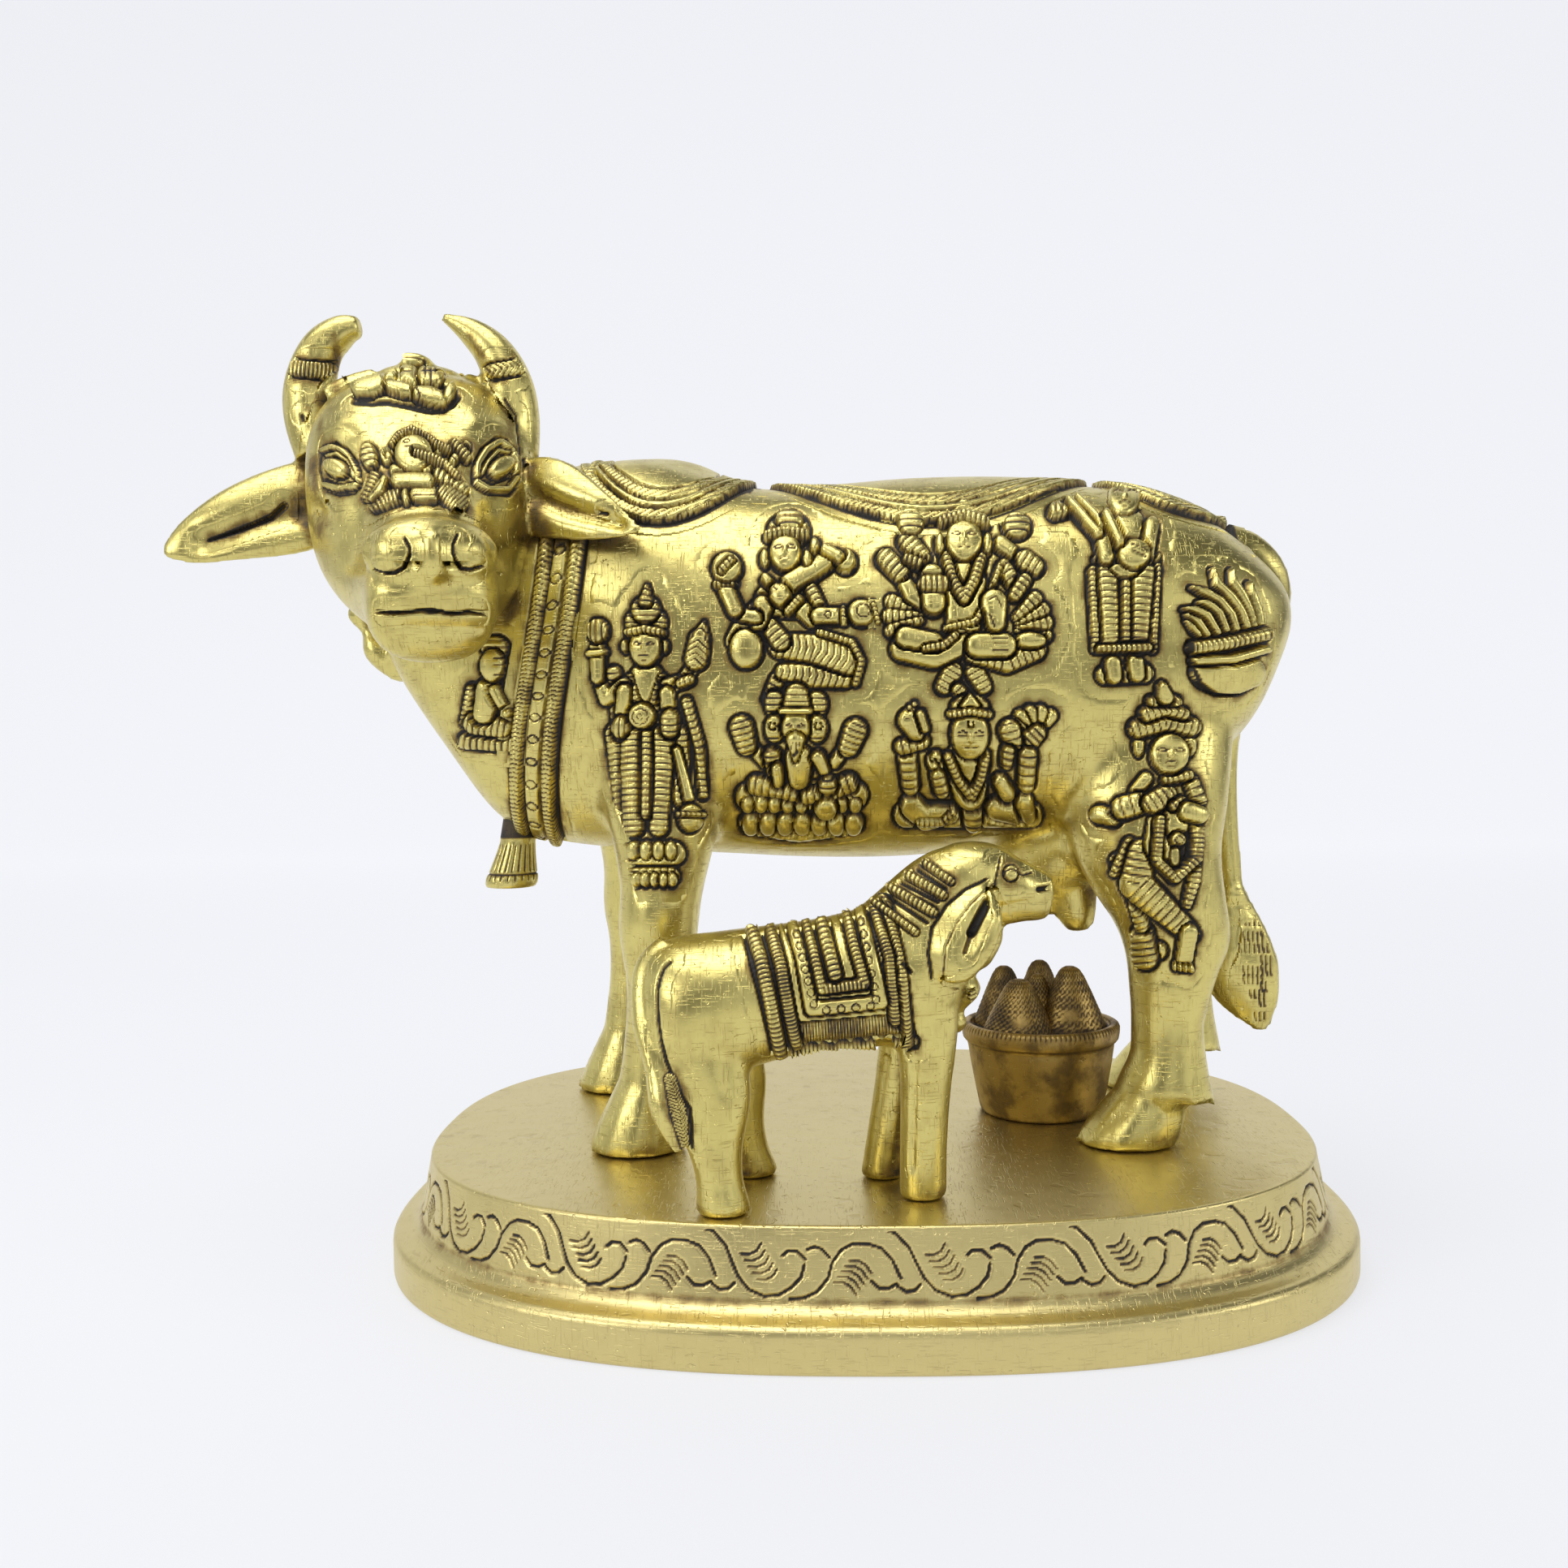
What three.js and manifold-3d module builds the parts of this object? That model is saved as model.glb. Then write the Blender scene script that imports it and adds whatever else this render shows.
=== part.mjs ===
// A standing brass cow with her calf and an offering basket on an oval plinth.
// Millimetres, +Z up, +X towards the cow's tail, +Y to the far side. The origin is the centre of the
// plinth's underside. The cow and the calf are laid out on squared grids of their own height.
import * as THREE from "three";
import * as BufferGeometryUtils from "three/addons/utils/BufferGeometryUtils.js";
import Module from "manifold-3d";

const wasm = await Module();
wasm.setup();

// Plinth
const plinthLength = 200;
const plinthWidth = 156;
const plinthHeight = 23;
const plinthSquareness = 2.5; // exponent of the oval: 2 is an ellipse
const lowerBandHeight = 8.6;
const ledgeWidth = 5.6; // how far the frieze stands in from the lower band
const friezeLean = 2.1; // how far the frieze leans in towards the top
const topEdgeRound = 0.7;
const scrollWaves = 17;
const scrollWidth = 1.5;
const scrollDepth = 0.6;
const scrollSwing = 3.4; // how far the vine swings up and down from the middle of the frieze

// Cow
const cowHeight = 176; // plinth top to horn tips
const cowMiddleY = 4;
const clothThickness = 1.3;
const neckBandWidth = 9.5;
const reliefHeight = 1.8;
const reliefRoot = 1.2; // how deep the carving's bars reach under the skin

// Calf
const calfHeight = 64.5; // plinth top to the top of its head
const calfSetback = 25; // from the plinth's front edge to the calf's middle
const calfYaw = 4; // degrees, its head a little further back than its rump
const calfClothThickness = 0.9;

// Offering basket
const basketX = 39;
const basketY = 7;
const basketBaseRadius = 13.6;
const basketRimRadius = 17.4;
const basketBandHeight = 3.8;
const basketHeight = 20;
const heapHeight = 14;

const polishedBrass = new THREE.MeshStandardMaterial({ color: 0xc9a750, roughness: 0.32, metalness: 1 });
const satinBrass = new THREE.MeshStandardMaterial({ color: 0xb99e57, roughness: 0.42, metalness: 1 });
const brownBrass = new THREE.MeshStandardMaterial({ color: 0x8f7238, roughness: 0.5, metalness: 1 });

// Solids
function toSolid(geometry) {
  const bare = geometry.index ? geometry.clone() : geometry;
  bare.deleteAttribute("normal");
  bare.deleteAttribute("uv");
  const merged = BufferGeometryUtils.mergeVertices(bare, 1e-4);
  const vertProperties = new Float32Array(merged.attributes.position.array);
  const triVerts = new Uint32Array(merged.index.array);
  return new wasm.Manifold(new wasm.Mesh({ numProp: 3, vertProperties, triVerts }));
}

function toGeometry(solid) {
  const mesh = solid.getMesh();
  const geometry = new THREE.BufferGeometry();
  geometry.setAttribute("position", new THREE.BufferAttribute(new Float32Array(mesh.vertProperties), 3));
  geometry.setIndex(new THREE.BufferAttribute(new Uint32Array(mesh.triVerts), 1));
  return geometry;
}

function joined(solids) {
  return wasm.Manifold.union(solids);
}

function signedPower(value, power) {
  return Math.sign(value) * Math.abs(value) ** power;
}

// A closed skin over a row of rings that all have the same number of points
function loft(rings) {
  const sides = rings[0].length;
  const geometry = new THREE.CylinderGeometry(1, 1, 1, sides, rings.length - 1, false);
  const position = geometry.attributes.position;
  const last = rings.length - 1;
  for (let row = 0; row <= last; row++) {
    for (let i = 0; i <= sides; i++) {
      const p = rings[last - row][i % sides];
      position.setXYZ(row * (sides + 1) + i, p.x, p.y, p.z);
    }
  }
  // Each cap has one centre for every side, then its rim
  let next = (last + 1) * (sides + 1);
  for (const ring of [rings[last], rings[0]]) {
    const centre = ring.reduce((sum, p) => sum.add(p), new THREE.Vector3()).divideScalar(sides);
    for (let i = 0; i < sides; i++) position.setXYZ(next++, centre.x, centre.y, centre.z);
    for (let i = 0; i <= sides; i++) {
      const p = ring[i % sides];
      position.setXYZ(next++, p.x, p.y, p.z);
    }
  }
  const solid = toSolid(geometry);
  return solid.volume() < 0 ? toSolid(turnedInsideOut(geometry)) : solid;
}

function turnedInsideOut(geometry) {
  const index = geometry.index.array;
  for (let i = 0; i < index.length; i += 3) {
    const first = index[i];
    index[i] = index[i + 1];
    index[i + 1] = first;
  }
  return geometry;
}

// Rows of numbers read off at even steps along a smooth curve through them
function smoothRows(rows, count) {
  const at = (i) => rows[Math.min(Math.max(i, 0), rows.length - 1)];
  const result = [];
  for (let k = 0; k < count; k++) {
    const t = (k / (count - 1)) * (rows.length - 1);
    const i = Math.min(Math.floor(t), rows.length - 2);
    const f = t - i;
    result.push(rows[i].map((_, column) => {
      const [a, b, c, d] = [at(i - 1)[column], at(i)[column], at(i + 1)[column], at(i + 2)[column]];
      return 0.5 * (2 * b + (c - a) * f + (2 * a - 5 * b + 4 * c - d) * f * f
        + (3 * b - a - 3 * c + d) * f * f * f);
    }));
  }
  return result;
}

// A limb along a path of rows [x, y, z, radius, flatness], with its widest way along an axis if given
function limb(rows, sides, evenFlatness = 1, widthAxis = null) {
  const points = rows.map((r) => new THREE.Vector3(r[0], r[1], r[2]));
  const rings = points.map((p, i) => {
    const before = points[Math.max(i - 1, 0)];
    const after = points[Math.min(i + 1, points.length - 1)];
    const along = after.clone().sub(before).normalize();
    const hint = widthAxis ?? new THREE.Vector3(...(Math.abs(along.y) < 0.8 ? [0, 1, 0] : [1, 0, 0]));
    const wide = hint.clone().addScaledVector(along, -hint.dot(along)).normalize();
    const thin = new THREE.Vector3().crossVectors(along, wide);
    const flatness = rows[i][4] ?? evenFlatness;
    return Array.from({ length: sides }, (_, k) => {
      const angle = (2 * Math.PI * k) / sides;
      return p.clone().addScaledVector(wide, rows[i][3] * Math.cos(angle))
        .addScaledVector(thin, rows[i][3] * flatness * Math.sin(angle));
    });
  });
  return loft(rings);
}

function ball(centre, radii, across, down) {
  const geometry = new THREE.SphereGeometry(1, across, down);
  geometry.scale(...radii);
  geometry.translate(...centre);
  return toSolid(geometry);
}

// Upright slices [height, x, y, radiusX, radiusY, tilt] from the top down
function slices(rows, sides, place) {
  return loft(rows.map(([height, x, y, radiusX, radiusY, tilt = 0]) =>
    Array.from({ length: sides }, (_, k) => {
      const angle = (2 * Math.PI * k) / sides;
      const dx = radiusX * Math.cos(angle);
      return place(x + dx, y + radiusY * Math.sin(angle), height + tilt * dx);
    })));
}

// Plinth
function ovalPoint(angle, inset, height) {
  const power = 2 / plinthSquareness;
  return new THREE.Vector3(
    (plinthLength / 2 - inset) * signedPower(Math.cos(angle), power),
    (plinthWidth / 2 - inset) * signedPower(Math.sin(angle), power),
    height,
  );
}

function plinth() {
  const sides = 32;
  const friezeFoot = lowerBandHeight + 2;
  const profile = [
    [0.6, 0],
    [0, 0.8],
    [0, lowerBandHeight - 1.6],
    [0.9, lowerBandHeight - 0.3],
    [ledgeWidth - 1.6, lowerBandHeight + 0.4],
    [ledgeWidth, friezeFoot],
    [ledgeWidth + friezeLean, plinthHeight - topEdgeRound],
    [ledgeWidth + friezeLean + topEdgeRound, plinthHeight],
  ];
  const body = loft(profile.map(([inset, height]) =>
    Array.from({ length: sides }, (_, k) => ovalPoint((2 * Math.PI * k) / sides, inset, height))));

  // The vine is a closed wavy wire sunk into the frieze
  const middle = (friezeFoot + plinthHeight - topEdgeRound) / 2;
  const steps = scrollWaves * 2;
  const across = 3;
  const wire = new THREE.TorusGeometry(1, 0.1, across, steps);
  const position = wire.attributes.position;
  const friezePoint = (turn, depth) => {
    const angle = 2 * Math.PI * turn;
    const height = middle + scrollSwing * Math.sin(angle * scrollWaves);
    const share = (height - friezeFoot) / (plinthHeight - topEdgeRound - friezeFoot);
    return ovalPoint(angle, ledgeWidth + friezeLean * share + depth, height);
  };
  for (let j = 0; j <= across; j++) {
    for (let i = 0; i <= steps; i++) {
      const turn = ((i % steps) + 0.5) / steps;
      const angle = (2 * Math.PI * (j % across)) / across;
      const centre = friezePoint(turn, scrollDepth * Math.cos(angle));
      const rise = new THREE.Vector3(0, 0, (scrollWidth / 2) * Math.sin(angle));
      const p = centre.add(rise);
      position.setXYZ(j * (steps + 1) + i, p.x, p.y, p.z);
    }
  }
  let vine = toSolid(wire);
  if (vine.volume() < 0) vine = toSolid(turnedInsideOut(wire));
  return body.subtract(vine);
}

// Cow, on her own grid: heights are above the plinth
const cowUnit = cowHeight / 176; // the grid has 176 squares in the cow's height
const cowPoint = (x, y, height) =>
  new THREE.Vector3(x * cowUnit, cowMiddleY + (y - 4) * cowUnit, plinthHeight + height * cowUnit);

// Stations from the front of the neck to the rump: [x, top, bottom, half width, middle y]
const trunkRows = [
  [-105, 131, 111, 6, -2],
  [-99, 138, 98, 13.5, -1],
  [-89, 141, 82, 18.5, 1],
  [-79, 141.5, 68, 21, 2],
  [-69, 142, 62.5, 24, 3],
  [-58, 143, 60.5, 28, 4],
  [-44, 143.5, 59.5, 31, 4],
  [-28, 139, 58.5, 32.5, 4],
  [-10, 137, 57.5, 34, 4],
  [10, 138, 57.5, 34.5, 4],
  [28, 139, 59.5, 34, 4],
  [44, 138, 62.5, 33, 4],
  [60, 135.8, 68, 31.5, 4],
  [72, 131.2, 75, 28.5, 4],
  [82, 124.4, 84, 23, 4],
  [89, 117.4, 98, 15, 4],
  [91.4, 112, 104, 8, 4],
];
const trunkSquareness = 2.25;
const widestShare = 0.47; // height of the widest line as a share of a station's height

function trunk(thicker = 0) {
  const sides = 16;
  const stations = 14;
  const rings = smoothRows(trunkRows, stations).map(([x, top, bottom, half, middle]) => {
    const widest = bottom + widestShare * (top - bottom);
    const spread = thicker / cowUnit;
    return Array.from({ length: sides }, (_, k) => {
      const angle = (2 * Math.PI * k) / sides;
      const across = signedPower(Math.cos(angle), 2 / trunkSquareness);
      const lift = signedPower(Math.sin(angle), 2 / trunkSquareness);
      const reach = lift > 0 ? top - widest : widest - bottom;
      return cowPoint(x, middle + (half + spread) * across, widest + (reach + spread) * lift);
    });
  });
  return loft(rings);
}

const humpRadii = [17, 13, 10];

function hump(thicker = 0) {
  const radii = humpRadii.map((radius) => radius * cowUnit + thicker);
  return ball(cowPoint(-43.5, 4, 134.8).toArray(), radii, 9, 6);
}

function frontLeg(x, y) {
  const rows = [
    [88, 2, 9, 14, 12], [66, 3.4, 3, 11.2, 10.6], [52.7, 3, 0.5, 8.6, 8.8], [42, 2.2, 0, 8, 8.3],
    [30, 1.4, 0, 6.2, 6.7], [20, 0.2, 0, 6, 6.2], [13, -0.4, 0, 6.8, 6.9],
  ];
  const hoofRows = [
    [14, -0.4, 0, 6.6, 6.6], [7.6, -1.6, 0, 8.6, 8.3], [1.4, -2.9, 0, 10.1, 9.3], [0, -3, 0, 9.7, 8.9],
  ];
  return footedLeg(rows, hoofRows, x, y);
}

function hindLeg(x, y, lean) {
  const rows = [
    [96, 1, 10, 17.5, 13], [76, -2.4, 5, 17.2, 12.5], [59.6, -3, 1, 15, 11], [48, 1.4, 0, 11.6, 9.3],
    [40.4, 3.2, 0, 10.4, 8.3], [33, 2.1, 0, 8.4, 7.5], [23, 0.7, 0, 7, 6.7], [15, 0.4, 0, 8.4, 7.6, -0.08],
    [10, 0.2, 0, 9.9, 8.6, -0.2],
  ];
  const hoofRows = [
    [13, -2.5, 0, 6, 6], [6.3, -5.2, 0, 9.6, 8.6], [1.2, -7.6, 0, 10.6, 9.2], [0, -7.7, 0, 10.2, 8.8],
  ];
  return footedLeg(rows, hoofRows, x, y, lean);
}

// The leg leans out from the trunk to stand at x, y. A lean moves its top forward or back
function footedLeg(rows, hoofRows, x, y, lean = 0) {
  const out = Math.sign(y - 4);
  const hock = 40;
  const place = (px, py, height) =>
    cowPoint(x + px + lean * Math.max(0, height / hock - 1), y - out * py, height);
  return joined([slices(rows, 7, place), slices(hoofRows, 7, place)]);
}

// Head, on axes of its own: forward to the muzzle, up out of the brow, side to the viewer's left
const headMiddle = [-92.5, -8, 143];
const muzzleMiddle = [-80.5, -46, 116];
const headForward = new THREE.Vector3(...muzzleMiddle).sub(new THREE.Vector3(...headMiddle)).normalize();
const headUp = new THREE.Vector3(0, 0, 1).addScaledVector(headForward, -headForward.z).normalize();
const headSide = new THREE.Vector3().crossVectors(headForward, headUp);

function headPoint(forward, side, up) {
  const p = new THREE.Vector3(...headMiddle).addScaledVector(headForward, forward)
    .addScaledVector(headSide, side).addScaledVector(headUp, up);
  return cowPoint(p.x, p.y, p.z);
}

// Stations along the head: [forward, half width, top, bottom, share of the height that is widest]
const headRows = [
  [-14, 9, 8, -12, 0.5],
  [-9, 18, 16.5, -18, 0.55],
  [-2, 22.5, 19.5, -21, 0.58],
  [6, 23.6, 18.6, -23, 0.55],
  [14, 23, 15.6, -23.5, 0.48],
  [22, 20.5, 12.5, -23, 0.44],
  [30, 16.8, 10.5, -21.5, 0.42],
  [38, 13.6, 9.4, -20, 0.45],
  [46, 12.8, 7.6, -18.5, 0.5],
  [51, 12.2, 4.6, -17.5, 0.5],
  [55, 10.4, 0.4, -15.5, 0.5],
  [56.5, 7, -4, -12, 0.5],
];

function skull() {
  const sides = 12;
  return loft(smoothRows(headRows, 11).map(([forward, half, top, bottom, share]) => {
    const widest = bottom + share * (top - bottom);
    return Array.from({ length: sides }, (_, k) => {
      const angle = (2 * Math.PI * k) / sides;
      const lift = signedPower(Math.sin(angle), 0.88);
      const reach = lift > 0 ? top - widest : widest - bottom;
      return headPoint(forward, half * signedPower(Math.cos(angle), 0.88), widest + reach * lift);
    });
  }));
}

function headBall(forward, side, up, radius, squash, across, down) {
  const geometry = new THREE.SphereGeometry(radius * cowUnit, across, down);
  geometry.scale(...squash);
  const turn = new THREE.Matrix4().makeBasis(headSide, headForward, headUp.clone());
  geometry.applyMatrix4(turn);
  const p = headPoint(forward, side, up);
  geometry.translate(p.x, p.y, p.z);
  const solid = toSolid(geometry);
  return solid.volume() < 0 ? toSolid(turnedInsideOut(geometry)) : solid;
}

function headLimb(rows, sides) {
  return limb(rows.map(([forward, side, up, radius]) =>
    [...headPoint(forward, side, up).toArray(), radius * cowUnit]), sides);
}

function head() {
  const parts = [skull()];
  parts.push(headBall(47, 0, 3.5, 12.6, [1, 0.62, 0.55], 8, 5)); // nose pad
  for (const side of [-1, 1]) parts.push(headBall(17.5, side * 17, 8, 5.6, [0.8, 1.2, 0.8], 5, 4)); // eyes
  parts.push(limb([[-113.4, -8, 146, 6.4], [-115.8, -8, 154, 6.2], [-116, -8, 161, 5.6], [-113.4, -8, 168, 4.8],
    [-108.8, -8, 172.4, 4.1], [-105, -8, 172.8, 2.4]].map(gridRow), 6));
  parts.push(limb([[-73.6, -8, 145, 6.4], [-72.9, -8, 153, 6], [-73.6, -8, 160, 5.2], [-76.6, -8, 166.4, 4.3],
    [-81.4, -8, 171, 3], [-87.2, -8, 174.3, 0.9]].map(gridRow), 6));
  const earFacing = new THREE.Vector3(0, 0.25, 1).normalize();
  parts.push(limb([[-108, -4, 136, 6], [-114, -7, 136, 9.6], [-122, -10, 133.6, 10.4],
    [-131, -13, 130.4, 8.6], [-140, -15, 127.2, 5.2], [-145.6, -16.2, 124.9, 0.9]].map(gridRow),
  6, 0.34, earFacing));
  parts.push(limb([[-76, -8, 136, 4], [-69, -14, 135, 6.8], [-62, -19.5, 133, 7.4], [-54, -24, 129.5, 5.4],
    [-48, -26.5, 127, 3], [-43, -28, 125.6, 0.6]].map(gridRow), 6, 0.34, earFacing));
  return parts;
}

function gridRow([x, y, height, radius]) {
  return [...cowPoint(x, y, height).toArray(), radius * cowUnit];
}

function tail() {
  const rope = [[78, 4, 126, 5], [86, 4, 119, 4.4], [89.6, 4, 111, 3.6], [86.3, 4, 100, 3.2], [81.2, 4, 90, 3],
    [78.2, 4, 80, 2.8], [78.2, 4, 68, 2.6], [80.4, 4, 47, 2.6]];
  const tuft = [[80.4, 4, 48, 3.4], [81.6, 4, 40, 7.2], [83.2, 4, 30, 8.8], [87.4, 4, 17.8, 1]];
  const along = new THREE.Vector3(1, 0, 0);
  return [
    limb(rope.map(gridRow), 6, 0.9, along),
    ball(cowPoint(80.4, 4, 47).toArray(), [3.6 * cowUnit, 3.6 * cowUnit, 1.4 * cowUnit], 6, 4),
    limb(tuft.map(gridRow), 6, 0.55, along),
  ];
}

function udder() {
  const bag = ball(cowPoint(42, 2, 58).toArray(), [13 * cowUnit, 15 * cowUnit, 12 * cowUnit], 9, 6);
  const teats = [[37.5, -5], [45, -5], [38, 9], [45.5, 9]].map(([x, y]) =>
    limb([[x - 1, y + 1, 52, 3.8], [x + 0.4, y, 41.5, 1.6]].map(gridRow), 5));
  return [bag, ...teats];
}

// Cloths lie on the back as slightly thicker copies of the trunk inside a leaf outline
function leafPrism(fromX, toX, halfWidth, blunt) {
  const shape = new THREE.Shape();
  const steps = 7;
  for (const side of [1, -1]) {
    for (let k = 0; k < steps; k++) {
      const share = side > 0 ? k / steps : 1 - k / steps;
      const x = fromX + (toX - fromX) * share;
      const y = side * halfWidth * Math.sin(Math.PI * share) ** blunt;
      const p = cowPoint(x, 4 + y, 0);
      if (k === 0 && side > 0) shape.moveTo(p.x, p.y);
      else shape.lineTo(p.x, p.y);
    }
  }
  const geometry = new THREE.ExtrudeGeometry(shape, { depth: 60 * cowUnit, bevelEnabled: false });
  geometry.translate(0, 0, plinthHeight + 100 * cowUnit);
  return toSolid(geometry);
}

function cloths() {
  const cover = trunk(clothThickness);
  return [
    joined([cover, hump(clothThickness)]).intersect(leafPrism(-63, -22, 27.3, 0.5)),
    cover.intersect(leafPrism(-19, 50, 27.5, 0.7)),
    cover.intersect(leafPrism(51, 89, 18, 0.6)),
  ];
}

function neckBand() {
  const slab = new THREE.BoxGeometry(neckBandWidth * cowUnit, 90 * cowUnit, 110 * cowUnit);
  slab.rotateY(THREE.MathUtils.degToRad(9));
  slab.translate(...cowPoint(-64.5, 4, 92).toArray());
  return trunk(clothThickness).intersect(toSolid(slab));
}

function bell() {
  const top = cowPoint(-75.6, -2, 62.8);
  const geometry = new THREE.LatheGeometry([
    [0, -10], [5.2, -10], [5.6, -9.3], [5.6, -7.6], [4.7, -5], [3.8, 0], [3.9, 7], [0, 7],
  ].map(([radius, height]) => new THREE.Vector2(radius * cowUnit, height * cowUnit)), 8);
  geometry.rotateX(Math.PI / 2);
  geometry.translate(top.x, top.y, top.z);
  return toSolid(geometry);
}

// Relief figures. A figure is laid out in shares of its own height from the middle of its foot, and
// each stroke is set on the skin where a line across the cow meets it.
function skinFinder(solid) {
  const mesh = new THREE.Mesh(toGeometry(solid), new THREE.MeshBasicMaterial({ side: THREE.DoubleSide }));
  mesh.geometry.computeBoundingSphere();
  const caster = new THREE.Raycaster();
  return (x, height, side) => {
    const start = cowPoint(x, 4 + side * 80, height);
    caster.set(start, new THREE.Vector3(0, -side, 0));
    const [hit] = caster.intersectObject(mesh);
    const normal = hit.face.normal.clone();
    if (normal.y * side < 0) normal.negate();
    return { point: hit.point, normal };
  };
}

// A flat-topped bar through points [dx, dz, half width], standing reliefHeight out of the skin
function stroke(find, figure, points) {
  const spots = points.map(([dx, dz, half]) => ({
    ...find(figure.x - figure.side * dx * figure.height, figure.foot + dz * figure.height, figure.side),
    half: half * figure.height * cowUnit,
  }));
  const normal = spots.reduce((sum, spot) => sum.add(spot.normal), new THREE.Vector3()).normalize();
  return loft(spots.map(({ point, half }, i) => {
    const before = spots[Math.max(i - 1, 0)].point;
    const after = spots[Math.min(i + 1, spots.length - 1)].point;
    const across = after.clone().sub(before).cross(normal).normalize();
    const corner = (side, height) =>
      point.clone().addScaledVector(across, side * half).addScaledVector(normal, height);
    return [corner(-1, -reliefRoot), corner(1, -reliefRoot), corner(0.7, reliefHeight),
      corner(-0.7, reliefHeight)];
  }));
}

function boss(find, figure, [dx, dz], radius, tall) {
  const { x, foot, height, side } = figure;
  const spot = find(x - side * dx * height, foot + dz * height, side);
  const size = radius * height * cowUnit;
  return ball(spot.point.clone().addScaledVector(spot.normal, reliefHeight - size * 0.9).toArray(),
    [size, size, size * tall], 7, 4);
}

// Head, headdress, body, arms from the body's edge to the hand, legs, and what the hands hold. The
// strokes lie side by side, as the real carving's do, with a groove between them.
function figureStrokes(find, figure) {
  const { face = [0, 0.75], faceSize = 0.095, crown = 0.14, hands = [], held = [], standing } = figure;
  const [fx, fz] = face;
  const shoulder = fz - faceSize * 1.9;
  const brow = fz + faceSize * 0.8;
  const chin = fz - faceSize * 1.3;
  const hip = standing ? 0.44 : 0.24;
  const chest = faceSize * 1.3;
  const knee = figure.knee ?? 0.4;
  const legs = figure.legs ?? (standing ? [[-0.06, -0.06], [0.06, 0.06]] : []);
  const strokes = [
    [[fx, shoulder, chest], [0, hip, chest * 0.8]],
    ...hands.map(([x, z]) => [[fx + Math.sign(x) * (chest + 0.04), shoulder, 0.045], [x, z, 0.06]]),
    ...legs.map(([from, to]) => [[from, hip - 0.05, 0.06], [to, 0.04, 0.045]]),
    ...held,
  ];
  if (!standing) strokes.push([[-knee, 0.1, 0.06], [0, 0.08, 0.09], [knee, 0.1, 0.06]]);
  strokes.push([[fx, chin, faceSize * 0.6], [fx, brow, faceSize], [fx, brow + crown, faceSize * 0.25]]);
  return strokes.map((points) => stroke(find, figure, points));
}

const raisedHands = [[-0.36, 0.76], [0.36, 0.76]];
const flutePlayer = { standing: true, faceSize: 0.066, crown: 0.2, hands: [[0.15, 0.5]],
  held: [[[-0.22, 0.5, 0.03], [-0.09, 0.56, 0.03]]], legs: [[-0.05, 0.08], [0.07, -0.03]] };
const standingLord = { standing: true, face: [0, 0.8], faceSize: 0.062, crown: 0.14,
  hands: [[-0.2, 0.85], [0.22, 0.83], [0.16, 0.32]], held: [[[-0.1, -0.02, 0.06], [0.1, -0.02, 0.06]]] };

const nearSide = -1;
const farSide = 1;
const figures = [
  { ...standingLord, x: -41, foot: 54, height: 62, side: nearSide },
  { x: -14, foot: 93, height: 36, side: nearSide, face: [0.02, 0.76], crown: 0.14, knee: 0.34,
    hands: [[-0.34, 0.7], [0.46, 0.44]],
    held: [[[-0.32, 0.2, 0.1], [-0.16, 0.36, 0.05]], [[0.2, 0.62, 0.04], [0.38, 0.76, 0.05]]] },
  { x: -12.5, foot: 66, height: 28, side: nearSide, crown: 0.18, hands: raisedHands,
    held: [[[-0.34, -0.08, 0.06], [0.34, -0.08, 0.06]]] },
  { x: 20, foot: 94, height: 37, side: nearSide, crown: 0.16, knee: 0.42, hands: [...raisedHands, [0.3, 0.3]],
    held: [[[-0.46, 0.46, 0.08], [-0.34, 0.42, 0.04]], [[0.46, 0.46, 0.08], [0.34, 0.42, 0.04]]] },
  { x: 22, foot: 66, height: 28, side: nearSide, face: [0, 0.7], crown: 0.18, hands: raisedHands,
    held: [[[0.42, 0.82, 0.04], [0.5, 0.96, 0.12]]] },
  { x: 47.5, foot: 94, height: 40, side: nearSide, standing: true, face: [0, 0.86], faceSize: 0.075,
    crown: 0.05, held: [[[-0.4, 0.84, 0.03], [-0.12, 0.68, 0.03]]] },
  { ...flutePlayer, x: 59, foot: 37, height: 56, side: nearSide },
  { x: -76, foot: 83, height: 23, side: nearSide, face: [0, 0.78], faceSize: 0.12, crown: 0.06,
    knee: 0.22 },
  { x: -12, foot: 84, height: 40, side: farSide, hands: raisedHands },
  { x: 26, foot: 84, height: 40, side: farSide, hands: raisedHands },
];

// A bowl with tongues of flame on the side of the rump
function flameBowl(find) {
  const bowl = { x: 71.5, foot: 92, height: 24, side: nearSide };
  const flames = [-0.24, 0, 0.24].map((lean) =>
    [[lean, 0.56, 0.08], [lean * 0.7 - 0.04, 0.9 - Math.abs(lean) * 0.5, 0.02]]);
  const rim = [[-0.3, 0.42, 0.07], [0.3, 0.42, 0.07]];
  return [boss(find, bowl, [0, 0.24], 0.3, 0.8), ...[rim, ...flames].map((line) => stroke(find, bowl, line))];
}

// The elephant-headed figure on the bridge of the nose, and the seated one on the poll
function headFigures() {
  const figure = [
    headBall(25, 0, 12, 5, [1, 1, 0.7], 5, 3),
    headLimb([[28.5, 0, 13.4, 2.2], [33, -3, 12, 1.6]], 3),
    headBall(35.5, 0, 9, 7.5, [1, 0.35, 0.35], 5, 3),
    headBall(-6, 0, 19, 10, [1, 0.5, 0.28], 5, 4),
    headBall(-9, 0, 17.6, 3.4, [1, 1, 1], 5, 3),
  ];
  const leaves = [-1, 1].map((side) => headLimb([[-7, side * 10, 17.4, 2.4], [-6, side * 19, 14.2, 2]], 3));
  return [...figure, ...leaves];
}

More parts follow.
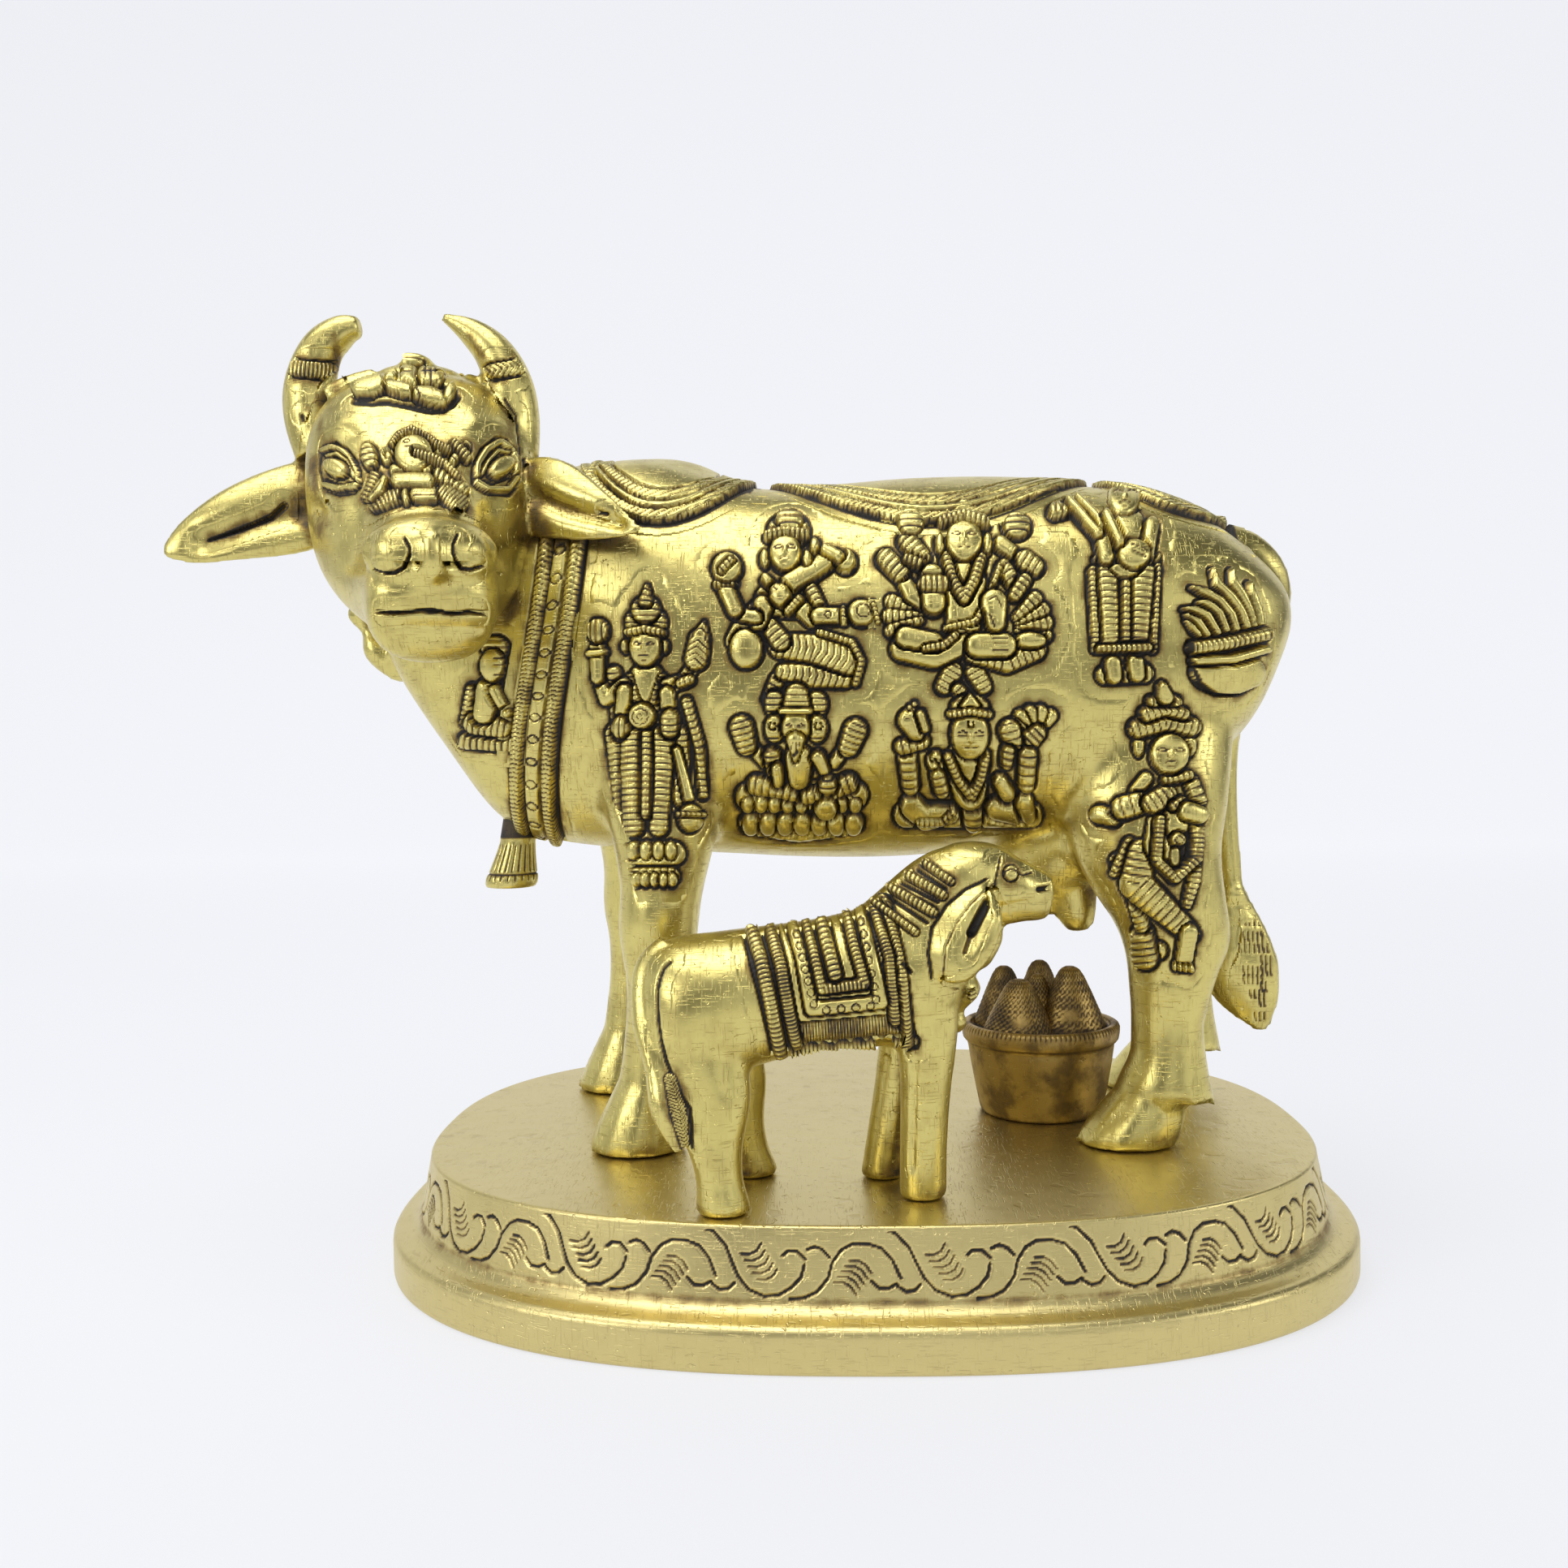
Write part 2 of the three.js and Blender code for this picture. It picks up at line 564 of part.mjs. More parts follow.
function cow() {
  const bare = joined([
    trunk(), hump(), frontLeg(-44.4, -22), frontLeg(-56.4, 30), hindLeg(60.5, -20, 0), hindLeg(74, 28, -3.6),
    ...udder(), ...tail(),
  ]);
  const find = skinFinder(bare);
  const reliefs = figures.flatMap((figure) => figureStrokes(find, figure));
  return joined([
    bare, ...head(), ...cloths(), neckBand(), bell(), ...reliefs, ...flameBowl(find), ...headFigures(),
  ]);
}

// Calf, on her own grid: x and y from the middle of her body, heights above the plinth
const calfUnit = calfHeight / 64.5; // the grid has 64.5 squares in the calf's height
const calfMiddleX = -12;
const calfMiddleY = calfSetback - plinthWidth / 2;
const calfTurn = THREE.MathUtils.degToRad(calfYaw);

function calfPoint(x, y, height) {
  const dx = (x - calfMiddleX) * calfUnit;
  const dy = y * calfUnit;
  return new THREE.Vector3(
    calfMiddleX + dx * Math.cos(calfTurn) - dy * Math.sin(calfTurn),
    calfMiddleY + dx * Math.sin(calfTurn) + dy * Math.cos(calfTurn),
    plinthHeight + height * calfUnit,
  );
}

const calfRow = ([x, y, height, radius]) => [...calfPoint(x, y, height).toArray(), radius * calfUnit];

// Stations from the rump to the chest: [x, top, bottom, half width]
const calfTrunkRows = [
  [-41, 43, 30, 4],
  [-39.5, 46, 23, 8.5],
  [-35, 48, 20, 11.8],
  [-28, 48.8, 22, 12.6],
  [-19, 49.3, 25.5, 12.4],
  [-9, 49.8, 28.3, 12.6],
  [0, 51.5, 28.5, 12.4],
  [8, 53.5, 29, 11.6],
  [14, 52, 31, 9.5],
  [17.5, 48, 36, 5],
];

function calfTrunk(thicker = 0) {
  const sides = 10;
  return loft(smoothRows(calfTrunkRows, 8).map(([x, top, bottom, half]) => {
    const middle = (top + bottom) / 2;
    const spread = thicker / calfUnit;
    return Array.from({ length: sides }, (_, k) => {
      const angle = (2 * Math.PI * k) / sides;
      return calfPoint(x, (half + spread) * signedPower(Math.cos(angle), 0.9),
        middle + ((top - bottom) / 2 + spread) * signedPower(Math.sin(angle), 0.9));
    });
  }));
}

function calfLeg(rows) {
  return slices(rows, 6, calfPoint);
}

function calfHead() {
  const side = new THREE.Vector3(0, 1, 0);
  const neck = [[4, 0, 42, 12], [9, 0, 48, 10.5], [14, 0, 54, 9], [18, 0, 57.5, 7.6]];
  const face = [[13.5, 0, 57, 5.4], [17, 0, 57.6, 6.8], [21.5, 0, 57.4, 6.9], [26, 0, 55.8, 5.9],
    [30.5, 0, 54.6, 5.1], [33.6, 0, 54.2, 4.2]];
  const made = [limb(neck.map(calfRow), 7, 1, side), limb(face.map(calfRow), 7, 1, side)];
  const lump = (x, height, radii, across) =>
    ball(calfPoint(x, 0, height).toArray(), radii.map((radius) => radius * calfUnit), across, 4);
  made.push(lump(18, 60, [4.6, 5, 4.4], 6)); // poll
  made.push(lump(25.6, 51.8, [4.6, 4, 2.7], 5)); // jaw
  for (const out of [-1, 1]) {
    const facing = new THREE.Vector3(1, 0, 0.4).normalize();
    made.push(limb([[19.2, out * 7, 56.8, 2.6], [17.8, out * 9.6, 52.3, 5.8], [15.2, out * 11.4, 46.4, 5.6],
      [12.8, out * 11.8, 40.8, 0.9]].map(calfRow), 6, 0.38, facing));
  }
  return made;
}

function calfGarland() {
  const rows = [[18.4, 0, 48.5, 3], [19.4, 0, 44.5, 4.4], [18, 0, 40.6, 2.4], [17.8, 0, 37.5, 4],
    [16.6, 0, 33.6, 1.4], [16.4, 0, 31.5, 2.4], [16.2, 0, 29.2, 0.8]];
  return limb(rows.map(calfRow), 6, 0.7, new THREE.Vector3(0, 1, 0));
}

function calfCloth() {
  const low = calfPoint(-21.5, -30, 26);
  const high = calfPoint(8.4, 30, 60);
  const box = new THREE.BoxGeometry(29.9 * calfUnit, 60 * calfUnit, high.z - low.z);
  box.rotateZ(calfTurn);
  const middle = calfPoint((-21.5 + 8.4) / 2, 0, (26 + 60) / 2);
  box.translate(middle.x, middle.y, middle.z);
  const collar = [[6.3, 0, 47.1, 11.6], [7.5, 0, 48, 12.5], [8.7, 0, 48.9, 11.6]];
  return [
    calfTrunk(calfClothThickness).intersect(toSolid(box)),
    limb(collar.map(calfRow), 8, 1, new THREE.Vector3(0, 1, 0)),
  ];
}

function calf() {
  const nearHind = [[36, -33, -4, 7.5, 7], [28, -31, -6.2, 8.6, 5.8], [20, -29.6, -7.4, 8, 4.8],
    [12, -28.4, -8, 5.2, 4.4], [6, -27.6, -8.4, 4.3, 4.2], [1, -27, -8.6, 5, 4.6], [0, -27, -8.6, 4.7, 4.3]];
  const nearFront = [[38, 10.2, -3, 6, 6], [30, 10.2, -4.2, 5.6, 5.2], [20, 9.8, -3.8, 4.7, 4.4],
    [10, 9.4, -3, 4.4, 4.2], [1, 9.2, -2.6, 4.4, 4.2], [0, 9.2, -2.6, 4.1, 3.9]];
  const farOf = (rows, shift, out) => rows.map(([h, x, y, rx, ry]) =>
    [h, x + shift * (1 - h / 45), -y + out * (1 - h / 45), rx, ry]);
  const tail = [[-36, -1, 46.5, 2.6], [-40, -2.4, 42.5, 2.5], [-40.6, -5.5, 34, 2.2], [-38.4, -8.8, 26, 2.1],
    [-36.6, -10.8, 19, 2.9], [-34.4, -11.4, 12, 1]];
  return joined([
    calfTrunk(),
    ...[nearHind, nearFront, farOf(nearHind, 5.5, 5.4), farOf(nearFront, -6, 8)].map((rows) => calfLeg(rows)),
    limb(tail.map(calfRow), 6, 1, new THREE.Vector3(1, 0, 0)), ...calfHead(), calfGarland(), ...calfCloth(),
  ]);
}

// Offering basket, filled with conical heaps
function basket() {
  const fill = basketHeight - 1.2;
  const profile = [
    [0, 0], [basketBaseRadius - 0.5, 0], [basketBaseRadius, 0.6],
    [basketRimRadius - 1.2, basketHeight - basketBandHeight],
    [basketRimRadius - 0.4, basketHeight - basketBandHeight + 0.8], [basketRimRadius, basketHeight - 0.8],
    [basketRimRadius - 0.9, basketHeight], [basketRimRadius - 2.2, fill], [0, fill],
  ];
  const shell = new THREE.LatheGeometry(profile.map(([r, z]) => new THREE.Vector2(r, z)), 18);
  shell.rotateX(Math.PI / 2);
  const body = toSolid(shell);
  const heaps = [
    [-0.4, -0.36, 0.52, 0.84], [0.42, -0.12, 0.46, 1], [-0.52, 0.34, 0.4, 0.9], [0.06, 0.44, 0.44, 1],
    [-0.02, 0.04, 0.36, 0.86],
  ].map(([dx, dy, size, tall]) => {
    const radius = size * (basketRimRadius - 2.2);
    const cone = new THREE.CylinderGeometry(radius * 0.22, radius, heapHeight * tall, 6, 1);
    cone.rotateX(Math.PI / 2);
    const spread = basketRimRadius * 0.8;
    cone.translate(dx * spread, dy * spread, fill + (heapHeight * tall) / 2 - 0.8);
    return toSolid(cone);
  });
  return joined([body, ...heaps]).translate([basketX, basketY, plinthHeight]);
}

const statue = new THREE.Group();
const pieces = [
  ["plinth", plinth(), satinBrass],
  ["cow", cow(), polishedBrass],
  ["calf", calf(), polishedBrass],
  ["offering_basket", basket(), brownBrass],
];
for (const [name, solid, material] of pieces) {
  const mesh = new THREE.Mesh(toGeometry(solid), material);
  mesh.name = name;
  statue.add(mesh);
}

export default statue;
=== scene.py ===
import math
import bpy
import numpy as np
from mathutils import Matrix, Vector
from mathutils.bvhtree import BVHTree


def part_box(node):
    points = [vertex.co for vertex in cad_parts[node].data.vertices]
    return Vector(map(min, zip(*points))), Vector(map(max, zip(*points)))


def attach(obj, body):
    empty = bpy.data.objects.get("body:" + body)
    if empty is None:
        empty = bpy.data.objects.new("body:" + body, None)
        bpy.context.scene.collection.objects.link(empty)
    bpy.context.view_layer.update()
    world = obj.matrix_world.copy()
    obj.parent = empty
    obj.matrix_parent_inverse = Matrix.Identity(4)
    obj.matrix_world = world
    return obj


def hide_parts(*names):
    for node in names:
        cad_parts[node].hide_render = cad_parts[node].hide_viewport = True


mm = 0.001
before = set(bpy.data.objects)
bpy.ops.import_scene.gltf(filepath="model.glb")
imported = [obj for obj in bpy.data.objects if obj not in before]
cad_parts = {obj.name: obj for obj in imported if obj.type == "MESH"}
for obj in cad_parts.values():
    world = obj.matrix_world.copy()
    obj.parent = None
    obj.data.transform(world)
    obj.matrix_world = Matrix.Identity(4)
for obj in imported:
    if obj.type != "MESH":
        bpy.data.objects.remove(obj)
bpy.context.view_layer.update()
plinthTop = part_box("plinth")[1].z / mm
print("frame loaded")


# Camera, floor and light
view = {
    "eye": (-4.051, -318.190, 107.956),  # mm
    "forward": (-0.0401757, 0.9985656, -0.0353940),
    "roll": -1.0,  # degrees
    "lens": 33.54,
    "sensor": 36.0,
}
# A sheet of pale paper sweeps up behind the figure, in a room that is darker before it (metres)
studio = {
    "paperFront": -0.75,
    "paperFlat": 1.0,  # where the sweep starts to rise
    "paperBend": 0.8,  # its radius
    "paperTop": 2.6,
    "paperHalfWidth": 2.1,
    "paperColour": (0.2, 0.202, 0.208),
    "paperGlow": (0.655, 0.66, 0.688),  # what the light through and off the paper adds
    "paperGlowBehind": 1.13,
    "paperGlowRise": (0.1, 1.6),
    "paperRoughness": 0.8,
    "room": (0.93, 0.95, 1.0),
    "roomLow": 0.07,
    "roomHigh": 0.92,
    "roomPatches": {"Scale": 1.9, "Detail": 1.5},
    "roomPatchEdge": (0.38, 0.62),
    "roomLift": (-0.3, 0.9, 0.75, 1.25),  # from low to high, from dim to bright
    "lightTarget": (0, 0, 0.1),
    # name, place, size and power
    "softboxes": [("overheadSoftbox", (-0.15, -0.2, 0.9), 0.7, 4.3),
                  ("leftSoftbox", (-0.8, -0.7, 0.5), 0.5, 2.7),
                  ("rightSoftbox", (0.95, -0.35, 0.45), 0.3, 1.0)],
}


def viewAxes():
    forward = Vector(view["forward"]).normalized()
    right = forward.cross(Vector((0, 0, 1))).normalized()
    up = right.cross(forward)
    roll = math.radians(view["roll"])
    turnedRight = right * math.cos(roll) + up * math.sin(roll)
    turnedUp = up * math.cos(roll) - right * math.sin(roll)
    return turnedRight, turnedUp, forward


def addCamera():
    right, up, forward = viewAxes()
    bpy.ops.object.camera_add()
    camera = bpy.context.object
    camera.name = "camera"
    axes = Matrix((right, up, -forward)).transposed().to_4x4()
    camera.matrix_world = Matrix.Translation(Vector(view["eye"]) * mm) @ axes
    camera.data.lens = view["lens"]
    camera.data.sensor_width = view["sensor"]
    camera.data.clip_start = 0.01
    bpy.context.scene.camera = camera


def addSoftbox(name, place, size, power):
    bpy.ops.object.light_add(type="AREA", location=place)
    light = bpy.context.object
    light.name = name
    aim = Vector(studio["lightTarget"]) - Vector(place)
    light.rotation_euler = aim.to_track_quat("-Z", "Y").to_euler()
    light.data.size = size
    light.data.energy = power


def paperSweep(along):
    flat, bend = studio["paperFlat"], studio["paperBend"]
    turn = np.clip((along - flat) / bend, 0, math.pi / 2)
    above = np.clip(along - flat - bend * math.pi / 2, 0, None)
    return np.minimum(along, flat) + bend * np.sin(turn), bend * (1 - np.cos(turn)) + above


def addStudio():
    scene = bpy.context.scene
    scene.view_settings.view_transform = "Standard"
    bpy.ops.mesh.primitive_grid_add(x_subdivisions=8, y_subdivisions=90, size=2)
    floor = bpy.context.object
    floor.name = "floor"
    paper = readPoints(floor) * mm
    share = (paper[:, 1] + 1) / 2
    along = studio["paperFront"] + share * (studio["paperTop"] + studio["paperFlat"] - studio["paperFront"])
    paper[:, 0] *= studio["paperHalfWidth"]
    paper[:, 1], paper[:, 2] = paperSweep(along)
    writePoints(floor, paper / mm)
    pick([floor])
    bpy.ops.object.shade_smooth()
    finish = bpy.data.materials.new("palePaper")
    finish.use_nodes = True
    shader = finish.node_tree.nodes["Principled BSDF"]
    shader.inputs["Base Color"].default_value = (*studio["paperColour"], 1)
    shader.inputs["Roughness"].default_value = studio["paperRoughness"]
    shader.inputs["Emission Color"].default_value = (*studio["paperGlow"], 1)
    place = addNode(finish.node_tree, "ShaderNodeTexCoord")
    depth = addNode(finish.node_tree, "ShaderNodeSeparateXYZ")
    finish.node_tree.links.new(place.outputs["Object"], depth.inputs["Vector"])
    behind = studio["paperGlowBehind"]
    glow = remap(finish.node_tree, depth.outputs["Y"], *studio["paperGlowRise"], 1.0, behind)
    finish.node_tree.links.new(glow, shader.inputs["Emission Strength"])
    floor.data.materials.append(finish)

    room = bpy.data.worlds.new("studioRoom")
    scene.world = room
    room.use_nodes = True
    tree = room.node_tree
    background = tree.nodes["Background"]
    background.inputs["Color"].default_value = (*studio["room"], 1)
    place = addNode(tree, "ShaderNodeTexCoord")
    patches = addNode(tree, "ShaderNodeTexNoise", studio["roomPatches"])
    height = addNode(tree, "ShaderNodeSeparateXYZ")
    tree.links.new(place.outputs["Generated"], patches.inputs["Vector"])
    tree.links.new(place.outputs["Generated"], height.inputs["Vector"])
    ends = studio["roomLow"], studio["roomHigh"]
    glow = remap(tree, patches.outputs["Fac"], *studio["roomPatchEdge"], *ends)
    lift = remap(tree, height.outputs["Z"], *studio["roomLift"])
    tree.links.new(compute(tree, "MULTIPLY", glow, lift), background.inputs["Strength"])
    for softbox in studio["softboxes"]:
        addSoftbox(*softbox)


# Building blocks
def deselectAll():
    for item in bpy.context.selected_objects:
        item.select_set(False)


def pick(pieces):
    deselectAll()
    for piece in pieces:
        piece.select_set(True)
    bpy.context.view_layer.objects.active = pieces[0]


def readPoints(piece):
    co = np.empty(len(piece.data.vertices) * 3)
    piece.data.vertices.foreach_get("co", co)
    return co.reshape(-1, 3) / mm


def writePoints(piece, points):
    piece.data.vertices.foreach_set("co", (points * mm).ravel())
    piece.data.update()


def readNormals(piece):
    normals = np.empty(len(piece.data.vertices) * 3)
    piece.data.vertices.foreach_get("normal", normals)
    return normals.reshape(-1, 3)


# Operators of edit mode, run on all of a piece
def editWhole(piece, *operators):
    pick([piece])
    bpy.ops.object.mode_set(mode="EDIT")
    bpy.ops.mesh.select_all(action="SELECT")
    for operator in operators:
        operator()
    bpy.ops.object.mode_set(mode="OBJECT")


def faceCorners(piece):
    corners = np.empty(len(piece.data.loops), int)
    piece.data.loops.foreach_get("vertex_index", corners)
    return corners.reshape(-1, 4)


def addModifier(piece, kind, **values):
    pick([piece])
    modifier = piece.modifiers.new(kind.lower(), kind)
    for name, value in values.items():
        setattr(modifier, name, value)
    bpy.ops.object.modifier_apply(modifier=modifier.name)


# Metals. The attribute patina is 0 on bright brass, about 0.4 on brown and 1 in black recesses. It also
# carries painted shade in shut-in places.
metals = {
    "polished_brass": {"metal": (0.70, 0.60, 0.205), "brown": (0.27, 0.18, 0.05), "roughness": 0.29,
                       "tarnish": 0.2, "scratches": 0.6, "grain": 0.1, "brushed": 0.5},
    "satin_brass": {"metal": (0.68, 0.57, 0.245), "brown": (0.36, 0.26, 0.10), "roughness": 0.35,
                    "tarnish": 0.12, "scratches": 0.5, "grain": 0.6, "brushed": 0.0},
    "brown_brass": {"metal": (0.46, 0.32, 0.11), "brown": (0.18, 0.12, 0.05), "roughness": 0.42,
                    "tarnish": 0.45, "scratches": 0.2, "grain": 0.1, "brushed": 0.1},
}
wear = {
    "mottleScale": 190, "pitScale": 900, "scratchScale": 260, "grainScale": 180, "brushScale": 130,
    "waveScale": 90,
    "pitDepth": 1.5, "grainHeight": 0.5, "waveHeight": 2.6,
    "bumpStrength": 0.45, "bumpDistance": 0.0002,
}
# Spans of the patina's amount in which one thing turns into another
coat = {
    "black": (0.018, 0.014, 0.010),
    "speck": (0.55, 1.9), "scratchDirt": 0.2,
    "browning": (0.03, 0.6), "blackening": (0.45, 0.95),
    "roughening": (0.05, 0.9, 0.0, 0.3), "dulling": (0.35, 0.9, 1.0, 0.1),
}


def addNode(tree, kind, values=None, **settings):
    node = tree.nodes.new(kind)
    for name, value in settings.items():
        setattr(node, name, value)
    for name, value in (values or {}).items():
        node.inputs[name].default_value = value
    return node


def addSocket(tree, name, side, kind, value=None):
    socket = tree.interface.new_socket(name=name, in_out=side, socket_type=kind)
    if value is not None:
        socket.default_value = value


def noise(tree, stretch, scale, detail, turn=(0, 0, 0)):
    place = addNode(tree, "ShaderNodeTexCoord")
    mapping = addNode(tree, "ShaderNodeMapping", {"Scale": stretch, "Rotation": turn})
    texture = addNode(tree, "ShaderNodeTexNoise", {"Scale": scale, "Detail": detail, "Roughness": 0.6})
    tree.links.new(place.outputs["Object"], mapping.inputs["Vector"])
    tree.links.new(mapping.outputs["Vector"], texture.inputs["Vector"])
    return texture.outputs["Fac"]


def remap(tree, value, fromLow, fromHigh, toLow=0.0, toHigh=1.0):
    node = addNode(tree, "ShaderNodeMapRange", {"From Min": fromLow, "From Max": fromHigh, "To Min": toLow,
                                                "To Max": toHigh}, interpolation_type="SMOOTHSTEP")
    tree.links.new(value, node.inputs["Value"])
    return node.outputs["Result"]


def compute(tree, operation, first, second):
    node = addNode(tree, "ShaderNodeMath", operation=operation)
    for socket, value in zip(node.inputs, (first, second)):
        if isinstance(value, (int, float)):
            socket.default_value = value
        else:
            tree.links.new(value, socket)
    return node.outputs["Value"]


def blend(tree, share, first, second):
    node = addNode(tree, "ShaderNodeMix", data_type="RGBA")
    tree.links.new(share, node.inputs["Factor"])
    for socket, value in zip((node.inputs[6], node.inputs[7]), (first, second)):
        if isinstance(value, tuple):
            socket.default_value = (*value, 1)
        else:
            tree.links.new(value, socket)
    return node.outputs[2]


def makeWearGroup():
    tree = bpy.data.node_groups.new("fineWear", "ShaderNodeTree")
    for name, value in (("Scratches", 0.5), ("Grain", 0.2), ("Brushed", 0.2)):
        addSocket(tree, name, "INPUT", "NodeSocketFloat", value)
    for name in ("Mottle", "Scratch", "Height"):
        addSocket(tree, name, "OUTPUT", "NodeSocketFloat")
    given = addNode(tree, "NodeGroupInput")
    result = addNode(tree, "NodeGroupOutput")
    mottle = remap(tree, noise(tree, (1, 1, 1), wear["mottleScale"], 6), 0.34, 0.68)
    pits = remap(tree, noise(tree, (1, 1, 1), wear["pitScale"], 1), 0.68, 0.76)
    fine = [remap(tree, noise(tree, stretch, wear["scratchScale"], 1, turn), 0.62, 0.70)
            for stretch, turn in (((1, 1, 14), (0.8, 0.5, 0.0)), ((16, 1, 1), (0.2, 0.9, 0.7)))]
    scratches = compute(tree, "MULTIPLY", compute(tree, "MAXIMUM", *fine), given.outputs["Scratches"])
    grain = compute(tree, "MULTIPLY", noise(tree, (1, 1, 30), wear["grainScale"], 2), given.outputs["Grain"])
    upright = noise(tree, (24, 24, 1), wear["brushScale"], 2)
    upright = compute(tree, "MULTIPLY", upright, given.outputs["Brushed"])
    grain = compute(tree, "ADD", grain, upright)
    lows = compute(tree, "ADD", scratches, compute(tree, "MULTIPLY", pits, wear["pitDepth"]))
    height = compute(tree, "SUBTRACT", compute(tree, "MULTIPLY", grain, wear["grainHeight"]), lows)
    waves = compute(tree, "MULTIPLY", noise(tree, (1, 1, 1), wear["waveScale"], 2), wear["waveHeight"])
    tree.links.new(compute(tree, "ADD", height, waves), result.inputs["Height"])
    tree.links.new(mottle, result.inputs["Mottle"])
    tree.links.new(scratches, result.inputs["Scratch"])
    return tree


def makePatinaGroup():
    tree = bpy.data.node_groups.new("patinaCoat", "ShaderNodeTree")
    for name, kind, value in (("Patina", "NodeSocketFloat", 0), ("Mottle", "NodeSocketFloat", 0),
                              ("Scratch", "NodeSocketFloat", 0), ("Tarnish", "NodeSocketFloat", 0.1),
                              ("Metal", "NodeSocketColor", None), ("Brown", "NodeSocketColor", None),
                              ("Gloss", "NodeSocketFloat", 0.3)):
        addSocket(tree, name, "INPUT", kind, value)
    addSocket(tree, "Colour", "OUTPUT", "NodeSocketColor")
    addSocket(tree, "Roughness", "OUTPUT", "NodeSocketFloat")
    addSocket(tree, "Metallic", "OUTPUT", "NodeSocketFloat")
    given = addNode(tree, "NodeGroupInput")
    result = addNode(tree, "NodeGroupOutput")
    darkSpot = compute(tree, "MULTIPLY", given.outputs["Mottle"], given.outputs["Tarnish"])
    # brown comes and goes in specks, black stays even
    middle, strength = coat["speck"]
    uneven = compute(tree, "MULTIPLY", compute(tree, "SUBTRACT", given.outputs["Mottle"], middle), strength)
    even = compute(tree, "SUBTRACT", 1.0, given.outputs["Patina"])
    uneven = compute(tree, "ADD", compute(tree, "MULTIPLY", uneven, even), 1.0)
    fromRecess = compute(tree, "MULTIPLY", given.outputs["Patina"], uneven)
    total = compute(tree, "MAXIMUM", fromRecess, darkSpot)
    dirt = compute(tree, "MULTIPLY", given.outputs["Scratch"], coat["scratchDirt"])
    total = compute(tree, "ADD", total, dirt)
    browning = remap(tree, total, *coat["browning"])
    browned = blend(tree, browning, given.outputs["Metal"], given.outputs["Brown"])
    blackened = blend(tree, remap(tree, total, *coat["blackening"]), browned, coat["black"])
    roughness = compute(tree, "ADD", given.outputs["Gloss"], remap(tree, total, *coat["roughening"]))
    tree.links.new(blackened, result.inputs["Colour"])
    tree.links.new(roughness, result.inputs["Roughness"])
    tree.links.new(remap(tree, total, *coat["dulling"]), result.inputs["Metallic"])
    return tree


wearGroup = makeWearGroup()
patinaGroup = makePatinaGroup()


def makeMetal(name):
    values = metals[name]
    material = bpy.data.materials.new(name)
    material.use_nodes = True
    tree = material.node_tree
    shader = tree.nodes["Principled BSDF"]
    worn = addNode(tree, "ShaderNodeGroup", {"Scratches": values["scratches"], "Grain": values["grain"],
                                             "Brushed": values["brushed"]}, node_tree=wearGroup)
    coated = addNode(tree, "ShaderNodeGroup", {"Tarnish": values["tarnish"], "Metal": (*values["metal"], 1),
                                               "Brown": (*values["brown"], 1), "Gloss": values["roughness"]},
                     node_tree=patinaGroup)
    patina = addNode(tree, "ShaderNodeAttribute", attribute_name="patina")
    given = {"Strength": wear["bumpStrength"], "Distance": wear["bumpDistance"]}
    bump = addNode(tree, "ShaderNodeBump", given)
    tree.links.new(patina.outputs["Fac"], coated.inputs["Patina"])
    for name in ("Mottle", "Scratch"):
        tree.links.new(worn.outputs[name], coated.inputs[name])
    tree.links.new(worn.outputs["Height"], bump.inputs["Height"])
    for name, socket in (("Colour", "Base Color"), ("Roughness", "Roughness"), ("Metallic", "Metallic")):
        tree.links.new(coated.outputs[name], shader.inputs[socket])
    tree.links.new(bump.outputs["Normal"], shader.inputs["Normal"])
    return material


materials = {name: makeMetal(name) for name in metals}


def writePatina(piece, patina):
    attribute = piece.data.attributes.get("patina") or piece.data.attributes.new("patina", "FLOAT", "POINT")
    attribute.data.foreach_set("value", np.clip(patina, 0, 1).astype(np.float32))


def dress(piece, node, slot):
    pick([piece])
    bpy.ops.object.shade_smooth()
    piece.data.materials.clear()
    piece.data.materials.append(materials[slot])
    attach(piece, "root")
    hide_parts(node)


addCamera()
addStudio()
print("camera, studio and metals set")


def smoothRows(rows, count):
    rows = np.array(rows, float)
    place = np.linspace(0, len(rows) - 1, count)
    first = np.minimum(place.astype(int), len(rows) - 2)
    f = (place - first)[:, None]
    a, b, c, d = (rows[np.clip(first + k, 0, len(rows) - 1)] for k in (-1, 0, 1, 2))
    return 0.5 * (2 * b + (c - a) * f + (2 * a - 5 * b + 4 * c - d) * f**2 + (3 * b - a - 3 * c + d) * f**3)


def signedPower(value, power):
    return np.sign(value) * np.abs(value) ** power


def loft(name, rings):
    rows, sides = rings.shape[:2]
    deselectAll()
    bpy.ops.mesh.primitive_uv_sphere_add(segments=sides, ring_count=rows + 1)
    piece = bpy.context.object
    piece.name = name
    ball = readPoints(piece) * mm
    row = np.rint(np.arccos(np.clip(ball[:, 2], -1, 1)) * (rows + 1) / np.pi).astype(int)
    column = np.rint(np.arctan2(ball[:, 1], ball[:, 0]) * sides / (2 * np.pi)).astype(int) % sides
    ends = [np.repeat(rings[k].mean(0)[None], sides, 0)[None] for k in (0, -1)]
    grid = np.concatenate([ends[0], rings, ends[1]])
    writePoints(piece, grid[row, column])
    editWhole(piece, bpy.ops.mesh.normals_make_consistent)
    return piece


